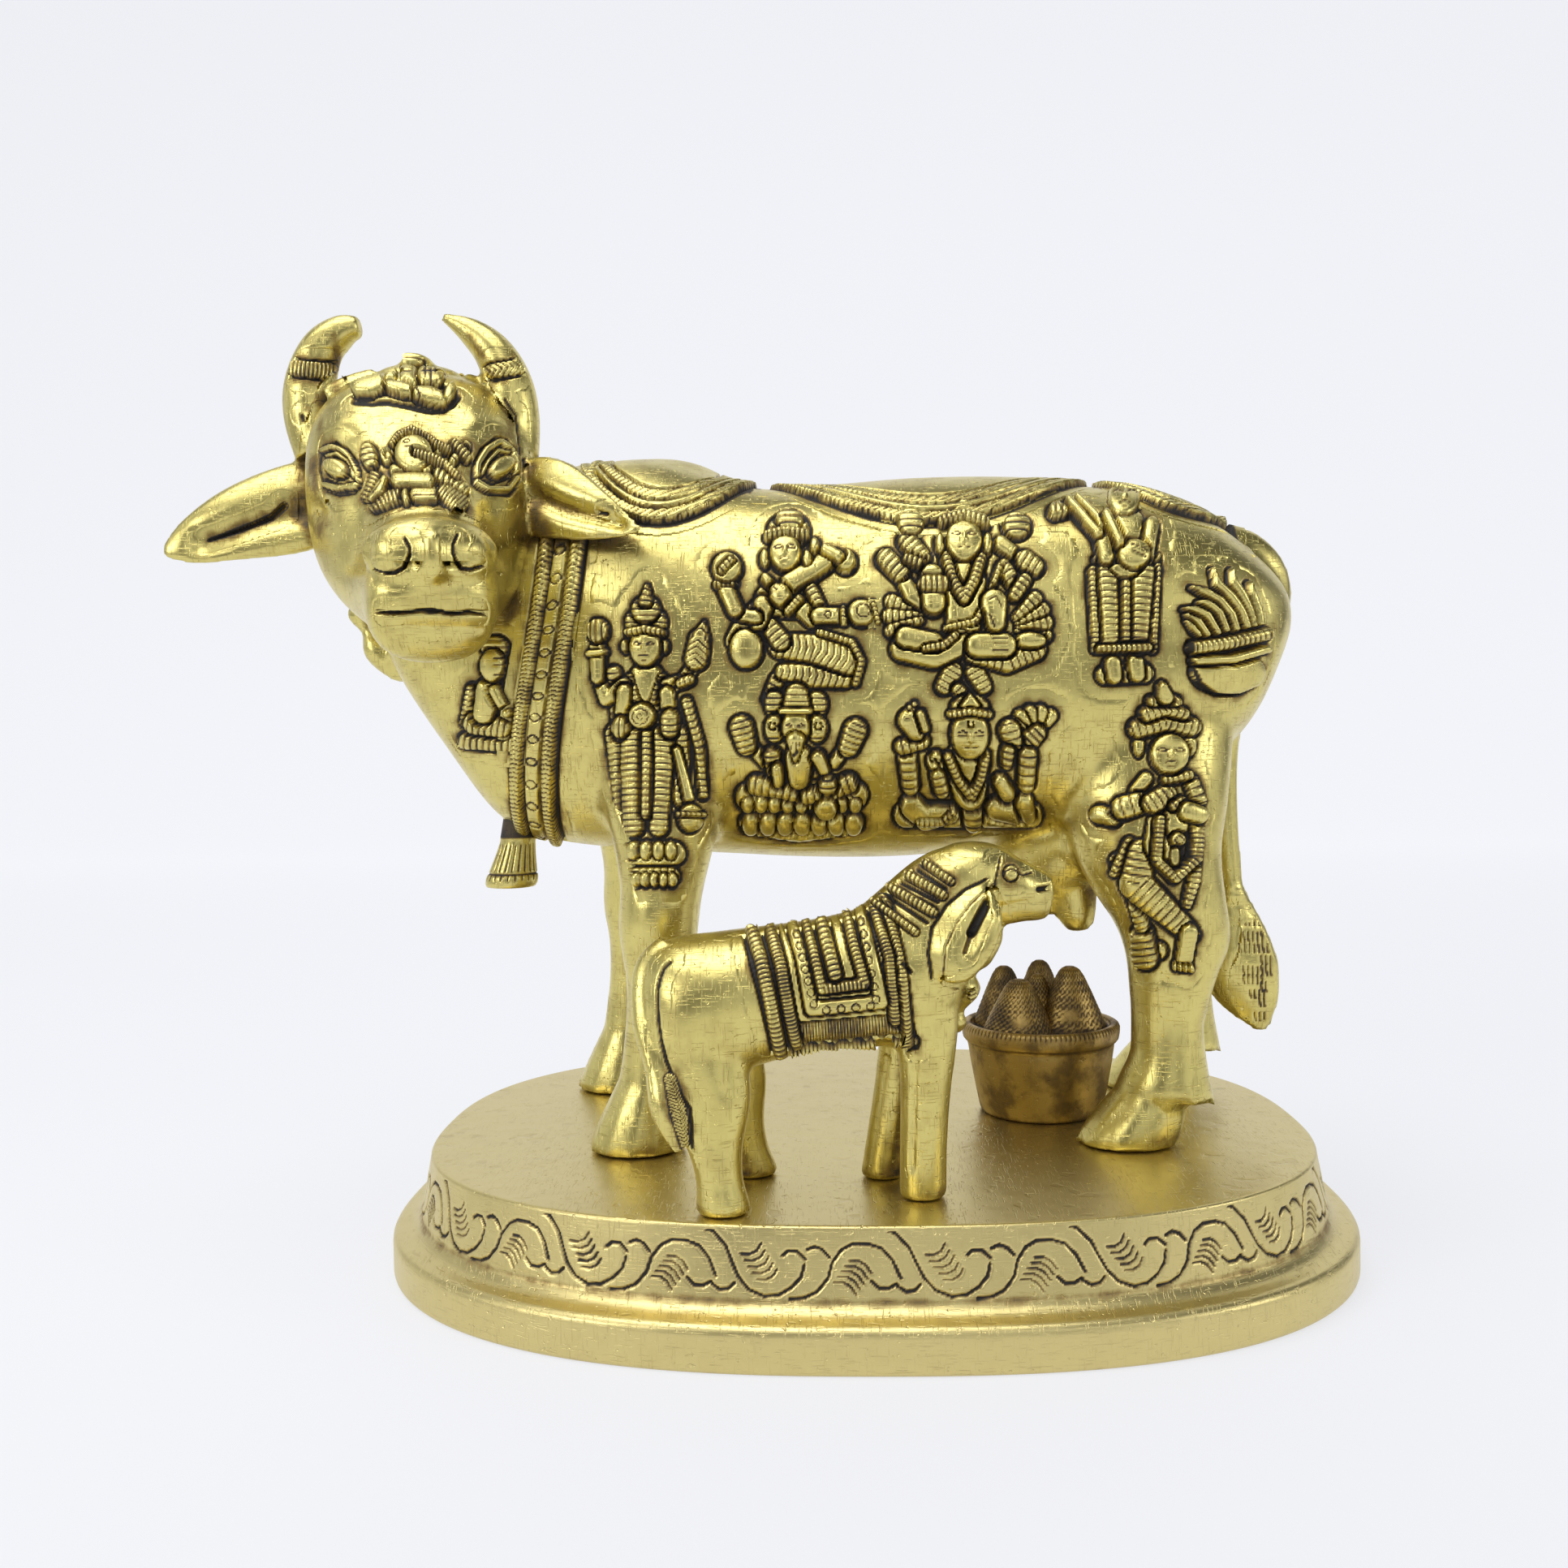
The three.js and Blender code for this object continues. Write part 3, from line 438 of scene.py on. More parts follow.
def gridSheet(name, points, keep):
    rows, columns = points.shape[:2]
    deselectAll()
    bpy.ops.mesh.primitive_grid_add(x_subdivisions=columns - 1, y_subdivisions=rows - 1, size=2)
    piece = bpy.context.object
    piece.name = name
    flat = readPoints(piece) * mm
    row = np.rint((flat[:, 1] + 1) / 2 * (rows - 1)).astype(int)
    column = np.rint((flat[:, 0] + 1) / 2 * (columns - 1)).astype(int)
    writePoints(piece, points[row, column])
    bpy.ops.object.mode_set(mode="EDIT")
    bpy.ops.mesh.select_all(action="DESELECT")
    bpy.ops.object.mode_set(mode="OBJECT")
    piece.data.vertices.foreach_set("select", ~keep[row, column])
    bpy.ops.object.mode_set(mode="EDIT")
    bpy.ops.mesh.delete(type="VERT")
    bpy.ops.mesh.select_all(action="SELECT")
    bpy.ops.object.mode_set(mode="OBJECT")
    kept = keep[row, column]
    return piece, row[kept], column[kept]


# A closed skin through rings of points, the first and last of which shrink to a point
def ringSheet(name, rings, patina):
    ends = [np.broadcast_to(rings[k].mean(0), rings[k].shape)[None] for k in (0, -1)]
    points = np.concatenate([ends[0], rings, ends[1]])
    patina = np.pad(patina, ((1, 1), (0, 0)), mode="edge")
    points, patina = (np.concatenate([values, values[:, :1]], 1) for values in (points, patina))
    piece, row, column = gridSheet(name, points, np.ones(patina.shape, bool))
    writePatina(piece, patina[row, column])
    mesh = bpy.ops.mesh
    editWhole(piece, lambda: mesh.remove_doubles(threshold=1e-7), mesh.normals_make_consistent)
    return piece


# A round or flattened limb along rows of x, y, height and radius
def limb(name, rows, sides, flatness=1.0, wideAlong=(0, 1, 0)):
    rows = smoothRows(rows, 6 * len(rows))
    path, radius = rows[:, :3], rows[:, 3]
    along = np.gradient(path, axis=0)
    along /= np.linalg.norm(along, axis=1, keepdims=True)
    hint = np.array(wideAlong, float)
    hint = np.where(np.abs(along @ hint)[:, None] > 0.9, np.array((1.0, 0, 0)), hint)
    wide = hint - (hint * along).sum(1, keepdims=True) * along
    wide /= np.linalg.norm(wide, axis=1, keepdims=True)
    thin = np.cross(along, wide)
    turn = np.linspace(0, 2 * np.pi, sides, endpoint=False)
    rings = (path[:, None] + (wide * radius[:, None])[:, None] * np.cos(turn)[None, :, None]
             + (thin * (radius * flatness)[:, None])[:, None] * np.sin(turn)[None, :, None])
    return loft(name, rings)


def ball(name, centre, radii):
    deselectAll()
    bpy.ops.mesh.primitive_uv_sphere_add(segments=24, ring_count=16)
    piece = bpy.context.object
    piece.name = name
    writePoints(piece, readPoints(piece) * mm * np.array(radii) + np.array(centre))
    return piece


def fuse(name, pieces, voxel, smoothing):
    pick(pieces)
    bpy.ops.object.join()
    piece = bpy.context.object
    piece.name = name
    addModifier(piece, "REMESH", mode="VOXEL", voxel_size=voxel * mm)
    addModifier(piece, "SMOOTH", factor=0.5, iterations=smoothing)
    return piece


def onPlinth(x, y, height):
    return np.stack(np.broadcast_arrays(x, y, np.asarray(height) + plinthTop), -1)


def raised(rows):
    return [(x, y, height + plinthTop, radius) for x, y, height, radius in rows]


cowMiddle = 4  # y of the middle line of the cow's trunk
# Cow's body. Stations run from the front of the neck to the rump: x, top, bottom, half width, middle y
body = {
    "stations": [
        (-105, 131, 110.4, 6, -2), (-99, 138, 97, 13.5, -1), (-89, 141, 81, 18.5, 1),
        (-79, 141.5, 67.2, 21, 2), (-69, 142, 62.5, 24, 3), (-58, 143, 60.5, 28, 4),
        (-44, 143.5, 59.5, 31, 4), (-28, 139, 58.5, 32.5, 4), (-10, 137, 57.5, 34, 4),
        (10, 138, 57.5, 34.5, 4), (28, 138, 59.5, 34, 4), (44, 137, 62.5, 33, 4),
        (60, 135.2, 68, 31.5, 4), (72, 130.4, 75, 28.5, 4), (82, 123.4, 84, 23, 4), (89, 116.6, 98, 15, 4),
        (91.4, 112, 104, 8, 4),
    ],
    "squareness": 2.25,
    "widestShare": 0.47,
    "humpPlace": (-43, 4, 134.1),
    "humpRadii": (17, 13, 10),
    # what shows of the small figure on the far side of the throat
    "throatFigure": [(-111.2, 3, 115.4, 1.4), (-110.6, 3, 112.8, 3.2), (-108.2, 3, 109, 2.3),
                     (-106.8, 3, 105, 3.9), (-103.6, 3, 101, 3.2), (-100.6, 3, 97.6, 1.2)],
    "bulkVoxel": 1.5,
    "voxel": 1.25,
}
# Legs' slices from the top down: height, x, y towards the middle, half length, half width, and tilt
frontLeg = {
    "slices": [
        (92, 2, 10, 14, 12), (74, 3, 5, 13, 11.5), (62, 3.5, 2, 10.4, 10), (52.7, 3, 0.5, 8.6, 8.8),
        (47.5, 2.4, 0, 8.5, 8.8), (42, 2.2, 0, 8, 8.3), (36, 2.2, 0, 7, 7.5), (30, 1.4, 0, 6.2, 6.7),
        (24, 0.7, 0, 6, 6.2), (18, 0, 0, 6.1, 6.3), (13, -0.4, 0, 6.8, 6.9),
    ],
    "hoof": [(14, -0.4, 0, 6.6, 6.6), (7.6, -1.6, 0, 8.6, 8.3), (1.4, -2.9, 0, 10.1, 9.3),
             (0, -3, 0, 9.7, 8.9)],
    "places": [(-44.4, -22, 0), (-56, 30, 0)],  # x, y and how far the top leans
}
hindLeg = {
    "slices": [
        (100, 1, 11, 17.5, 13), (84, -2, 7, 18.2, 13), (70, -2.6, 3, 16.6, 12), (59.6, -3, 1, 15, 11),
        (51.3, -0.8, 0, 13.3, 9.8), (46, 1.4, 0, 11.9, 9), (40.4, 2.7, 0, 10.9, 8.3),
        (34.6, 1.8, 0, 9.2, 7.6),
        (27.9, 1.1, 0, 8, 7), (23, 0.4, 0, 7.3, 6.7), (17, 0.4, 0, 7.6, 7),
    ],
    "cuff": [(26, 1.4, 0, 6.6, 6.6), (23, 1, 0, 6.9, 6.8), (17, 0.6, 0, 7.9, 7.3, -0.05),
             (12.5, 0.2, 0, 9.3, 8.2, -0.15), (10, 0.2, 0, 9.9, 8.6, -0.2)],
    "hoof": [(13, -2.5, 0, 6, 6), (6.3, -5.2, 0, 9.6, 8.6), (1.2, -7.6, 0, 10.6, 9.2),
             (0, -7.7, 0, 10.2, 8.8)],
    "places": [(60.5, -20, 0), (74, 28, -3.6)],
}
hock = 40  # height above which a leg leans
# On the cow's middle line: x, height and radius
tail = {
    "rope": [(68, 124, 4), (79, 124, 4.9), (87, 119.2, 4.8), (90, 111, 3.7), (85.4, 100, 3.2), (81, 90, 3.2),
             (79.2, 79, 3.1), (79.2, 66, 2.9), (80.6, 47, 2.6)],
    "tuft": [(80.4, 49, 3), (81.2, 40, 6.7), (82.6, 31, 8.3), (85.2, 24, 6), (87.4, 17.4, 1.2)],
    "tuftFlatness": 0.55,
    "ring": ((80.4, cowMiddle, 48), (3.7, 3.7, 1.5)),
}
udder = {
    "bag": ((42, 2, 58), (13, 15, 12)),
    # x, y, size and height of the end; then a teat's shape over its end: x, height, radius
    "teats": [(37.5, -5, 0.75, 44), (45.4, -5, 1.3, 41.4), (38, 9, 1, 43), (45.5, 9, 1, 43)],
    "teatRoot": (54, 4.4),
    "teatShape": [(0, 4.6, 3.4), (0.4, 1, 2.4), (0.5, 0, 1.2)],
}


def trunkRings():
    rows = smoothRows(body["stations"], 56)
    x, top, bottom, half, middle = (rows[:, k, None] for k in range(5))
    widest = bottom + body["widestShare"] * (top - bottom)
    turn = np.linspace(0, 2 * np.pi, 64, endpoint=False)[None]
    across = signedPower(np.cos(turn), 2 / body["squareness"])
    lift = signedPower(np.sin(turn), 2 / body["squareness"])
    reach = np.where(lift > 0, top - widest, widest - bottom)
    return onPlinth(x + 0 * turn, middle + half * across, widest + reach * lift)


def sliceRings(slices, count, sides, place):
    rows = smoothRows([row if len(row) == 6 else (*row, 0) for row in slices], count)
    height, x, y, halfLength, halfWidth, tilt = (rows[:, k, None] for k in range(6))
    turn = np.linspace(0, 2 * np.pi, sides, endpoint=False)[None]
    dx = halfLength * np.cos(turn)
    return place(x + dx, y + halfWidth * np.sin(turn), height + tilt * dx)


def legPlace(footX, footY, lean):
    out = math.copysign(1, footY - cowMiddle)
    return lambda x, y, height: onPlinth(footX + x + lean * np.clip(height / hock - 1, 0, None),
                                         footY - out * y, height)


def makeCowBody():
    bulk = [loft("trunk", trunkRings())]
    bulk.append(ball("hump", onPlinth(*body["humpPlace"]), body["humpRadii"]))
    bulk.append(ball("udder", onPlinth(*udder["bag"][0]), udder["bag"][1]))
    for leg in (frontLeg, hindLeg):
        for place in leg["places"]:
            bulk.append(loft("leg", sliceRings(leg["slices"], 40, 28, legPlace(*place))))
    bulk = fuse("cowBulk", bulk, body["bulkVoxel"], 10)
    fine = [bulk]
    for place in frontLeg["places"]:
        fine.append(loft("hoof", sliceRings(frontLeg["hoof"], 9, 12, legPlace(*place))))
    for place in hindLeg["places"]:
        fine.append(loft("hoof", sliceRings(hindLeg["hoof"], 9, 10, legPlace(*place))))
        fine.append(loft("cuff", sliceRings(hindLeg["cuff"], 14, 24, legPlace(*place))))
    rope, tuft = (raised([(x, cowMiddle, h, r) for x, h, r in tail[name]]) for name in ("rope", "tuft"))
    fine.append(limb("tailRope", rope, 16, 0.9, (1, 0, 0)))
    fine.append(limb("tailTuft", tuft, 20, tail["tuftFlatness"], (1, 0, 0)))
    fine.append(limb("throatFigure", raised(body["throatFigure"]), 18, 0.8))
    fine.append(ball("tailRing", onPlinth(*tail["ring"][0]), tail["ring"][1]))
    for x, y, size, end in udder["teats"]:
        rootHeight, rootRadius = udder["teatRoot"]
        rows = [(x - 1, y + 1, rootHeight, rootRadius * size)]
        rows += [(x + dx, y, end + over, radius * size) for dx, over, radius in udder["teatShape"]]
        fine.append(limb("teat", raised(rows), 14))
    return fuse("cowBody", fine, body["voxel"], 3)


# Head, on axes of its own: forward to the muzzle, up out of the brow, side to the viewer's left
head = {
    "middle": (-92.5, -8, 143),
    "muzzle": (-80.5, -46, 116),
    # Stations from the poll to the muzzle: forward, half width, top, bottom, share that is widest
    "stations": [
        (-14, 9, 8, -12, 0.5), (-9, 18, 16.5, -18, 0.55), (-2, 22.5, 19.5, -21, 0.58),
        (6, 23.6, 18.6, -23, 0.55), (14, 23.2, 15.6, -23.5, 0.46), (22, 21.5, 12.5, -23.4, 0.4),
        (30, 18.4, 10.5, -22.6, 0.36),
        (38, 15, 9.4, -21, 0.4), (46, 12.8, 7.6, -18.5, 0.5), (51, 12.2, 4.6, -17.5, 0.5),
        (55, 10.4, 0.4, -15.5, 0.5), (56.5, 7, -4, -12, 0.5),
    ],
    "nosePad": ((47, 0, 3.5), (12.6, 7.8, 6.9)),
    "muzzleFront": ((45.6, 0, -4.5), (12.6, 9.6, 9)),
    # horns: x, height and radius; ears: x, y, height and radius
    "hornY": -8,
    "leftHorn": [(-113.4, 146, 6.2), (-115.8, 154, 6), (-116, 161, 5.4), (-113.4, 168, 4.5),
                 (-108.8, 171.8, 3.5), (-105, 172.6, 2.1)],
    "rightHorn": [(-73.6, 145, 6.2), (-72.9, 153, 5.8), (-73.6, 160, 5.1), (-76.6, 166.4, 4.2),
                  (-81.4, 171, 2.9), (-87.2, 174.3, 0.8)],
    "leftEar": [(-106, -4, 137, 7.4), (-112, -7, 136.9, 9.4), (-121, -10, 134, 9.9), (-131, -13, 130.8, 8.2),
                (-139.4, -15, 127.2, 5.4), (-144, -16, 125.3, 2.4), (-145.4, -16.2, 124.9, 0.8)],
    "rightEar": [(-76, -8, 136, 5), (-69, -14, 135.4, 8), (-62, -19.5, 133.2, 8.2), (-54, -24, 129.5, 5.8),
                 (-48, -26.5, 127, 3.2), (-43.4, -28, 125.6, 0.8)],
    # the seated figure on the poll, its cap, and the scroll of leaves to each side
    "pollFigure": ((-6, 0, 17), (9, 4.6, 2.6)),
    "pollCap": ((-8.6, 0.6, 18.6), (3.6, 3, 2.4)),
    "leaves": [(-7, 9, 15.9, 2.4), (-6.4, 14, 14.6, 2.2), (-6, 19, 12.4, 2)],
    "earFlatness": 0.36,
    "earWideAlong": (0, 0.25, 1),
    "roundness": 0.88,
    "skullVoxel": 0.9,
    "voxel": 0.62,
}
headOrigin = np.array(head["middle"], float)
headForward = np.array(head["muzzle"], float) - headOrigin
headForward /= np.linalg.norm(headForward)
headUp = np.array((0, 0, 1.0)) - headForward[2] * headForward
headUp /= np.linalg.norm(headUp)
headSide = np.cross(headForward, headUp)


def headPoint(forward, side, up):
    forward, side, up = np.broadcast_arrays(forward, side, up)
    place = (headOrigin + forward[..., None] * headForward + side[..., None] * headSide
             + up[..., None] * headUp)
    return place + np.array((0, 0, plinthTop))


def headBall(name, place, radii):
    piece = ball(name, (0, 0, 0), radii)
    axes = np.stack([headSide, headForward, headUp])
    writePoints(piece, readPoints(piece) @ axes + headPoint(*place))
    return piece


def makeHead():
    rows = smoothRows(head["stations"], 44)
    forward, half, top, bottom, share = (rows[:, k, None] for k in range(5))
    widest = bottom + share * (top - bottom)
    turn = np.linspace(0, 2 * np.pi, 56, endpoint=False)[None]
    lift = signedPower(np.sin(turn), head["roundness"])
    reach = np.where(lift > 0, top - widest, widest - bottom)
    across = signedPower(np.cos(turn), head["roundness"])
    rings = headPoint(forward + 0 * turn, half * across, widest + reach * lift)
    lumps = [headBall(name, *head[name]) for name in ("nosePad", "muzzleFront")]
    skull = fuse("skull", [loft("skull", rings)] + lumps, head["skullVoxel"], 5)
    pieces = [skull] + [headBall(name, *head[name]) for name in ("pollFigure", "pollCap")]
    for out in (-1, 1):
        rows = [(*headPoint(forward, out * side, up), radius) for forward, side, up, radius in head["leaves"]]
        pieces.append(limb("leaves", rows, 16))
    for side in ("leftHorn", "rightHorn"):
        pieces.append(limb(side, raised([(x, head["hornY"], h, r) for x, h, r in head[side]]), 24))
    for side in ("leftEar", "rightEar"):
        pieces.append(limb(side, raised(head[side]), 32, head["earFlatness"], head["earWideAlong"]))
    return fuse("cowHead", pieces, head["voxel"], 3)


cowBody = makeCowBody()
cowHead = makeHead()
print("cow blocked out", len(cowBody.data.polygons), len(cowHead.data.polygons))


# Calf. Its places are x, y from its own middle line, and height
calf = {
    "middle": (-12, -53),
    "yaw": 4,
    "stations": [
        (-41, 43, 30, 4), (-39.5, 46, 23, 8.5), (-35, 48, 20, 11.8), (-28, 48.8, 22, 12.6),
        (-19, 49.7, 25, 12.4), (-9, 50.8, 27.2, 12.6), (0, 52.8, 27.4, 12.4), (8, 54.4, 28.4, 11.6),
        (14, 52, 31, 9.5), (17.5, 48, 36, 5),
    ],
    "roundness": 0.9,
    "hindLeg": [(36, -33, -4, 7.5, 7), (28, -31, -6.2, 8.6, 5.8), (20, -29.6, -7.4, 8, 4.8),
                (12, -28.4, -8, 5.2, 4.4), (6, -27.6, -8.4, 4.3, 4.2), (1, -27, -8.6, 5, 4.6),
                (0, -27, -8.6, 4.7, 4.3)],
    "frontLeg": [(38, 10.2, -3, 6, 6), (30, 10.2, -4.2, 5.6, 5.2), (20, 9.8, -3.8, 4.7, 4.4),
                 (10, 9.4, -3, 4.4, 4.2), (1, 9.2, -2.6, 4.4, 4.2), (0, 9.2, -2.6, 4.1, 3.9)],
    # how far the foot on the far side stands to the front and outwards
    "farHindShift": (5.5, 5.4),
    "farFrontShift": (-6, 8),
    "shiftTop": 45,  # height at which that shift ends
    "neck": [(4, 0, 42, 12), (9, 0, 48, 10.5), (14, 0, 54, 9), (18, 0, 57.5, 7.6)],
    "face": [(13.5, 0, 57, 5.4), (17, 0, 57.6, 6.8), (21.5, 0, 57.4, 6.9), (26, 0, 55.8, 5.9),
             (30.5, 0, 54.6, 5.1), (33.6, 0, 54.2, 4.2)],
    "poll": ((18, 0, 60), (4.6, 5, 4.4)),
    "jaw": ((25.6, 0, 51.8), (4.6, 4, 2.7)),
    "ear": [(19.2, 7, 56.8, 2.6), (17.8, 9.6, 52.4, 5.6), (15.4, 11.4, 46.8, 5.5), (13.6, 11.8, 42.4, 3.6),
            (12.8, 11.8, 40.6, 0.9)],
    "earFlatness": 0.38,
    "earWideAlong": (0.93, 0, 0.37),
    "tail": [(-36, -1, 46.5, 2.6), (-40, -2.4, 42.5, 2.5), (-40.6, -5.5, 34, 2.2), (-38.4, -8.8, 26, 2.1),
             (-36.6, -10.8, 19, 2.9), (-34.4, -11.4, 12, 1)],
    "garland": [(22.6, 0, 50.4, 2.4), (22.8, 0, 47, 3), (20, 0, 43.8, 4.3), (18, 0, 40.6, 2.4),
                (17.8, 0, 37.5, 4), (16.6, 0, 33.6, 1.4), (16.4, 0, 31.5, 2.4), (16.2, 0, 29.2, 0.8)],
    "bulkVoxel": 0.8,
    "voxel": 0.66,
}


def calfPoint(x, y, height):
    middleX, middleY = calf["middle"]
    turn = math.radians(calf["yaw"])
    dx = np.asarray(x, float) - middleX
    return onPlinth(middleX + dx * math.cos(turn) - y * math.sin(turn),
                    middleY + dx * math.sin(turn) + y * math.cos(turn), height)


def calfRows(rows):
    return [(*calfPoint(*row[:3]), *row[3:]) for row in rows]


def makeCalf():
    rows = smoothRows(calf["stations"], 40)
    x, top, bottom, half = (rows[:, k, None] for k in range(4))
    turn = np.linspace(0, 2 * np.pi, 40, endpoint=False)[None]
    across, lift = (signedPower(wave(turn), calf["roundness"]) for wave in (np.cos, np.sin))
    rings = calfPoint(x + 0 * turn, half * across, (top + bottom) / 2 + (top - bottom) / 2 * lift)
    bulk = [loft("calfTrunk", rings)]
    shiftTop = calf["shiftTop"]
    for leg, shift in (("hindLeg", calf["farHindShift"]), ("frontLeg", calf["farFrontShift"])):
        legRows = calf[leg]
        far = [(h, lx + shift[0] * (1 - h / shiftTop), shift[1] * (1 - h / shiftTop) - ly, rx, ry)
               for h, lx, ly, rx, ry in legRows]
        bulk.append(loft("leg", sliceRings(legRows, 24, 16, calfPoint)))
        bulk.append(loft("leg", sliceRings(far, 24, 16, calfPoint)))
    bulk.append(limb("neck", calfRows(calf["neck"]), 28))
    bulk.append(limb("face", calfRows(calf["face"]), 28))
    for place, radii in (calf["poll"], calf["jaw"]):
        bulk.append(ball("lump", calfPoint(*place), radii))
    bulk = fuse("calfBulk", bulk, calf["bulkVoxel"], 5)
    fine = [bulk, limb("tail", calfRows(calf["tail"]), 16)]
    for out in (-1, 1):
        rows = [(ex, out * ey, eh, er) for ex, ey, eh, er in calf["ear"]]
        fine.append(limb("ear", calfRows(rows), 24, calf["earFlatness"], calf["earWideAlong"]))
    fine.append(limb("garland", calfRows(calf["garland"]), 20, 0.7))
    return fuse("calf", fine, calf["voxel"], 2)


calfPiece = makeCalf()
print("calf blocked out", len(calfPiece.data.polygons))


# Drawing in relief. A drawing lies on a plane in front of the skin, in millimetres, and each form
# sets the height over the skin and how much patina the recesses hold.
carving = {
    "top": 1.7,  # how high a rounded form stands
    "rim": 0.45,  # share of that height at its edge
    "soft": 0.3,  # width of the step at its edge
    "domePower": 2.4,
    "groove": 0.7,  # width of the cut around a form
    "cordGroove": 0.35,
    "grooveDepth": 0.6,
    "edgeBrown": (0.5, 0.25),  # how brown a form's edge is, and how wide that edge
    "hatchDepth": 0.42,
    "hatchWidth": 0.5,
    "halo": 3.2,  # how far the brown stain reaches around a form
    "brown": 0.62,
}


def pathDistance(u, v, points, radii):
    best = np.full(len(u), 1e9)
    along, radius, across = np.zeros(len(u)), np.ones(len(u)), np.zeros(len(u))
    start, last = 0.0, len(points) - 2
    for k, ((ax, ay), (bx, by), ra, rb) in enumerate(zip(points[:-1], points[1:], radii[:-1], radii[1:])):
        dx, dy = bx - ax, by - ay
        length = max(math.hypot(dx, dy), 1e-6)
        free = ((u - ax) * dx + (v - ay) * dy) / length**2
        t = np.clip(free, 0, 1)
        free = np.clip(free, -np.inf if k == 0 else 0, np.inf if k == last else 1)
        gapU, gapV = u - ax - t * dx, v - ay - t * dy
        r = ra + (rb - ra) * t
        signed = np.hypot(gapU, gapV) - r
        take = signed < best
        best[take], radius[take] = signed[take], r[take]
        along[take] = start + free[take] * length
        across[take] = ((gapV * dx - gapU * dy) / length)[take]
        start += length
    return best, along, radius, across


# Cut lines at even gaps: 1 along the middle of each and 0 between them
def valley(value, gap, width, fullness=1.2):
    away = np.abs(value / gap - np.rint(value / gap)) * gap
    return np.clip(fullness - away / width, 0, 1)


class Relief:
    def __init__(self, u, v):
        self.shape = u.shape
        self.u, self.v = u.ravel(), v.ravel()
        self.height = np.zeros(self.u.size)
        self.patina = np.zeros(self.u.size)
        self.near = np.full(self.u.size, 99.0)
        self.edge = np.full(self.u.size, 99.0)  # from forms alone
        self.groove = carving["groove"]
        self.start(0, 0, 1)

    def start(self, u, v, square, mirror=1):
        self.origin, self.square, self.mirror = (u, v), square, mirror

    def place(self, points):
        points = np.array(points, float).reshape(-1, 2) * self.square
        return points * (self.mirror, 1) + self.origin

    def around(self, points, reach):
        low, high = points.min(0) - reach, points.max(0) + reach
        return np.nonzero((self.u > low[0]) & (self.u < high[0]) & (self.v > low[1]) & (self.v < high[1]))[0]

    def lay(self, some, signed, dome, top, along, hatch, groove):
        groove = self.groove if groove is None else groove
        height = top * (carving["rim"] + (1 - carving["rim"]) * dome)
        brown, edgeWidth = carving["edgeBrown"]
        patina = brown * np.clip(1 + signed / edgeWidth, 0, 1)
        if hatch:
            line = valley(along, hatch, carving["hatchWidth"] / 2, 1.15)
            height = height - carving["hatchDepth"] * line
            patina = np.maximum(patina, line)
        if groove:
            profile = np.clip(1 - np.abs(2 * signed / groove - 0.9) ** 3, 0, 1) * (signed > -0.1)
            cut = np.minimum(self.height[some], -carving["grooveDepth"])
            self.height[some] += (cut - self.height[some]) * profile
            self.patina[some] = np.maximum(self.patina[some], np.clip(profile * 1.4, 0, 1))
        cover = np.clip(0.5 - signed / carving["soft"], 0, 1)
        self.height[some] += (height - self.height[some]) * cover
        self.patina[some] += (patina - self.patina[some]) * cover
        self.near[some] = np.minimum(self.near[some], np.maximum(signed, 0))
        self.edge[some] = np.minimum(self.edge[some], np.maximum(signed, 0))

    def form(self, points, radii, top=None, hatch=0, groove=None, slant=0):
        points = self.place(points)
        radii = np.broadcast_to(np.array(radii, float) * self.square, len(points))
        if len(points) == 1:
            points, radii = np.repeat(points, 2, 0) + [[0, 0], [0.01, 0]], np.repeat(radii, 2)
        some = self.around(points, radii.max() + 4)
        signed, along, radius, across = pathDistance(self.u[some], self.v[some], points, radii)
        q = np.clip(1 + signed / radius, 0, 1)
        along = along + slant * np.abs(across)
        dome = np.sqrt(1 - q ** carving["domePower"])
        self.lay(some, signed, dome, top or carving["top"], along, hatch, groove)

    # a ribbed form, as folded cloth or a bracelet
    def ribs(self, points, radii, hatch, top=None, slant=0):
        self.form(points, radii, top, hatch, slant=slant)

    # a twisted or beaded cord that lies over other forms
    def cord(self, points, radii, hatch, top):
        self.form(points, radii, top, hatch, carving["cordGroove"])

    def disc(self, centre, wide, tall=None, top=None, turn=0, hatch=0, groove=None, along="v"):
        centre = self.place([centre])
        wide, tall = wide * self.square, (tall or wide) * self.square
        some = self.around(centre, max(wide, tall) + 4)
        du, dv = self.u[some] - centre[0, 0], self.v[some] - centre[0, 1]
        angle = math.radians(turn) * self.mirror
        x = du * math.cos(angle) + dv * math.sin(angle)
        y = dv * math.cos(angle) - du * math.sin(angle)
        q = np.hypot(x / wide, y / tall)
        signed = (q - 1) * np.hypot(x, y) / np.maximum(q, 1e-6)
        dome = np.sqrt(np.clip(1 - q ** carving["domePower"], 0, 1))
        self.lay(some, signed, dome, top or carving["top"], y if along == "v" else x, hatch, groove)

    def fromLine(self, points, reach):
        points = self.place(points)
        some = self.around(points, reach)
        return some, pathDistance(self.u[some], self.v[some], points, np.zeros(len(points)))[0]

    def cut(self, points, width=2.6, depth=0.45, black=1.0):
        half = width * self.square / 2
        some, distance = self.fromLine(points, half + 3)
        profile = np.clip(1 - (distance / half) ** 2, 0, 1)
        self.height[some] -= depth * profile
        self.patina[some] = np.maximum(self.patina[some], np.clip(profile * 1.6, 0, 1) * black)
        self.near[some] = np.minimum(self.near[some], distance)

    def dent(self, points, width, depth):
        half = width * self.square / 2
        some, distance = self.fromLine(points, half * 2)
        self.height[some] -= depth * np.exp(-1.5 * (distance / half) ** 2)
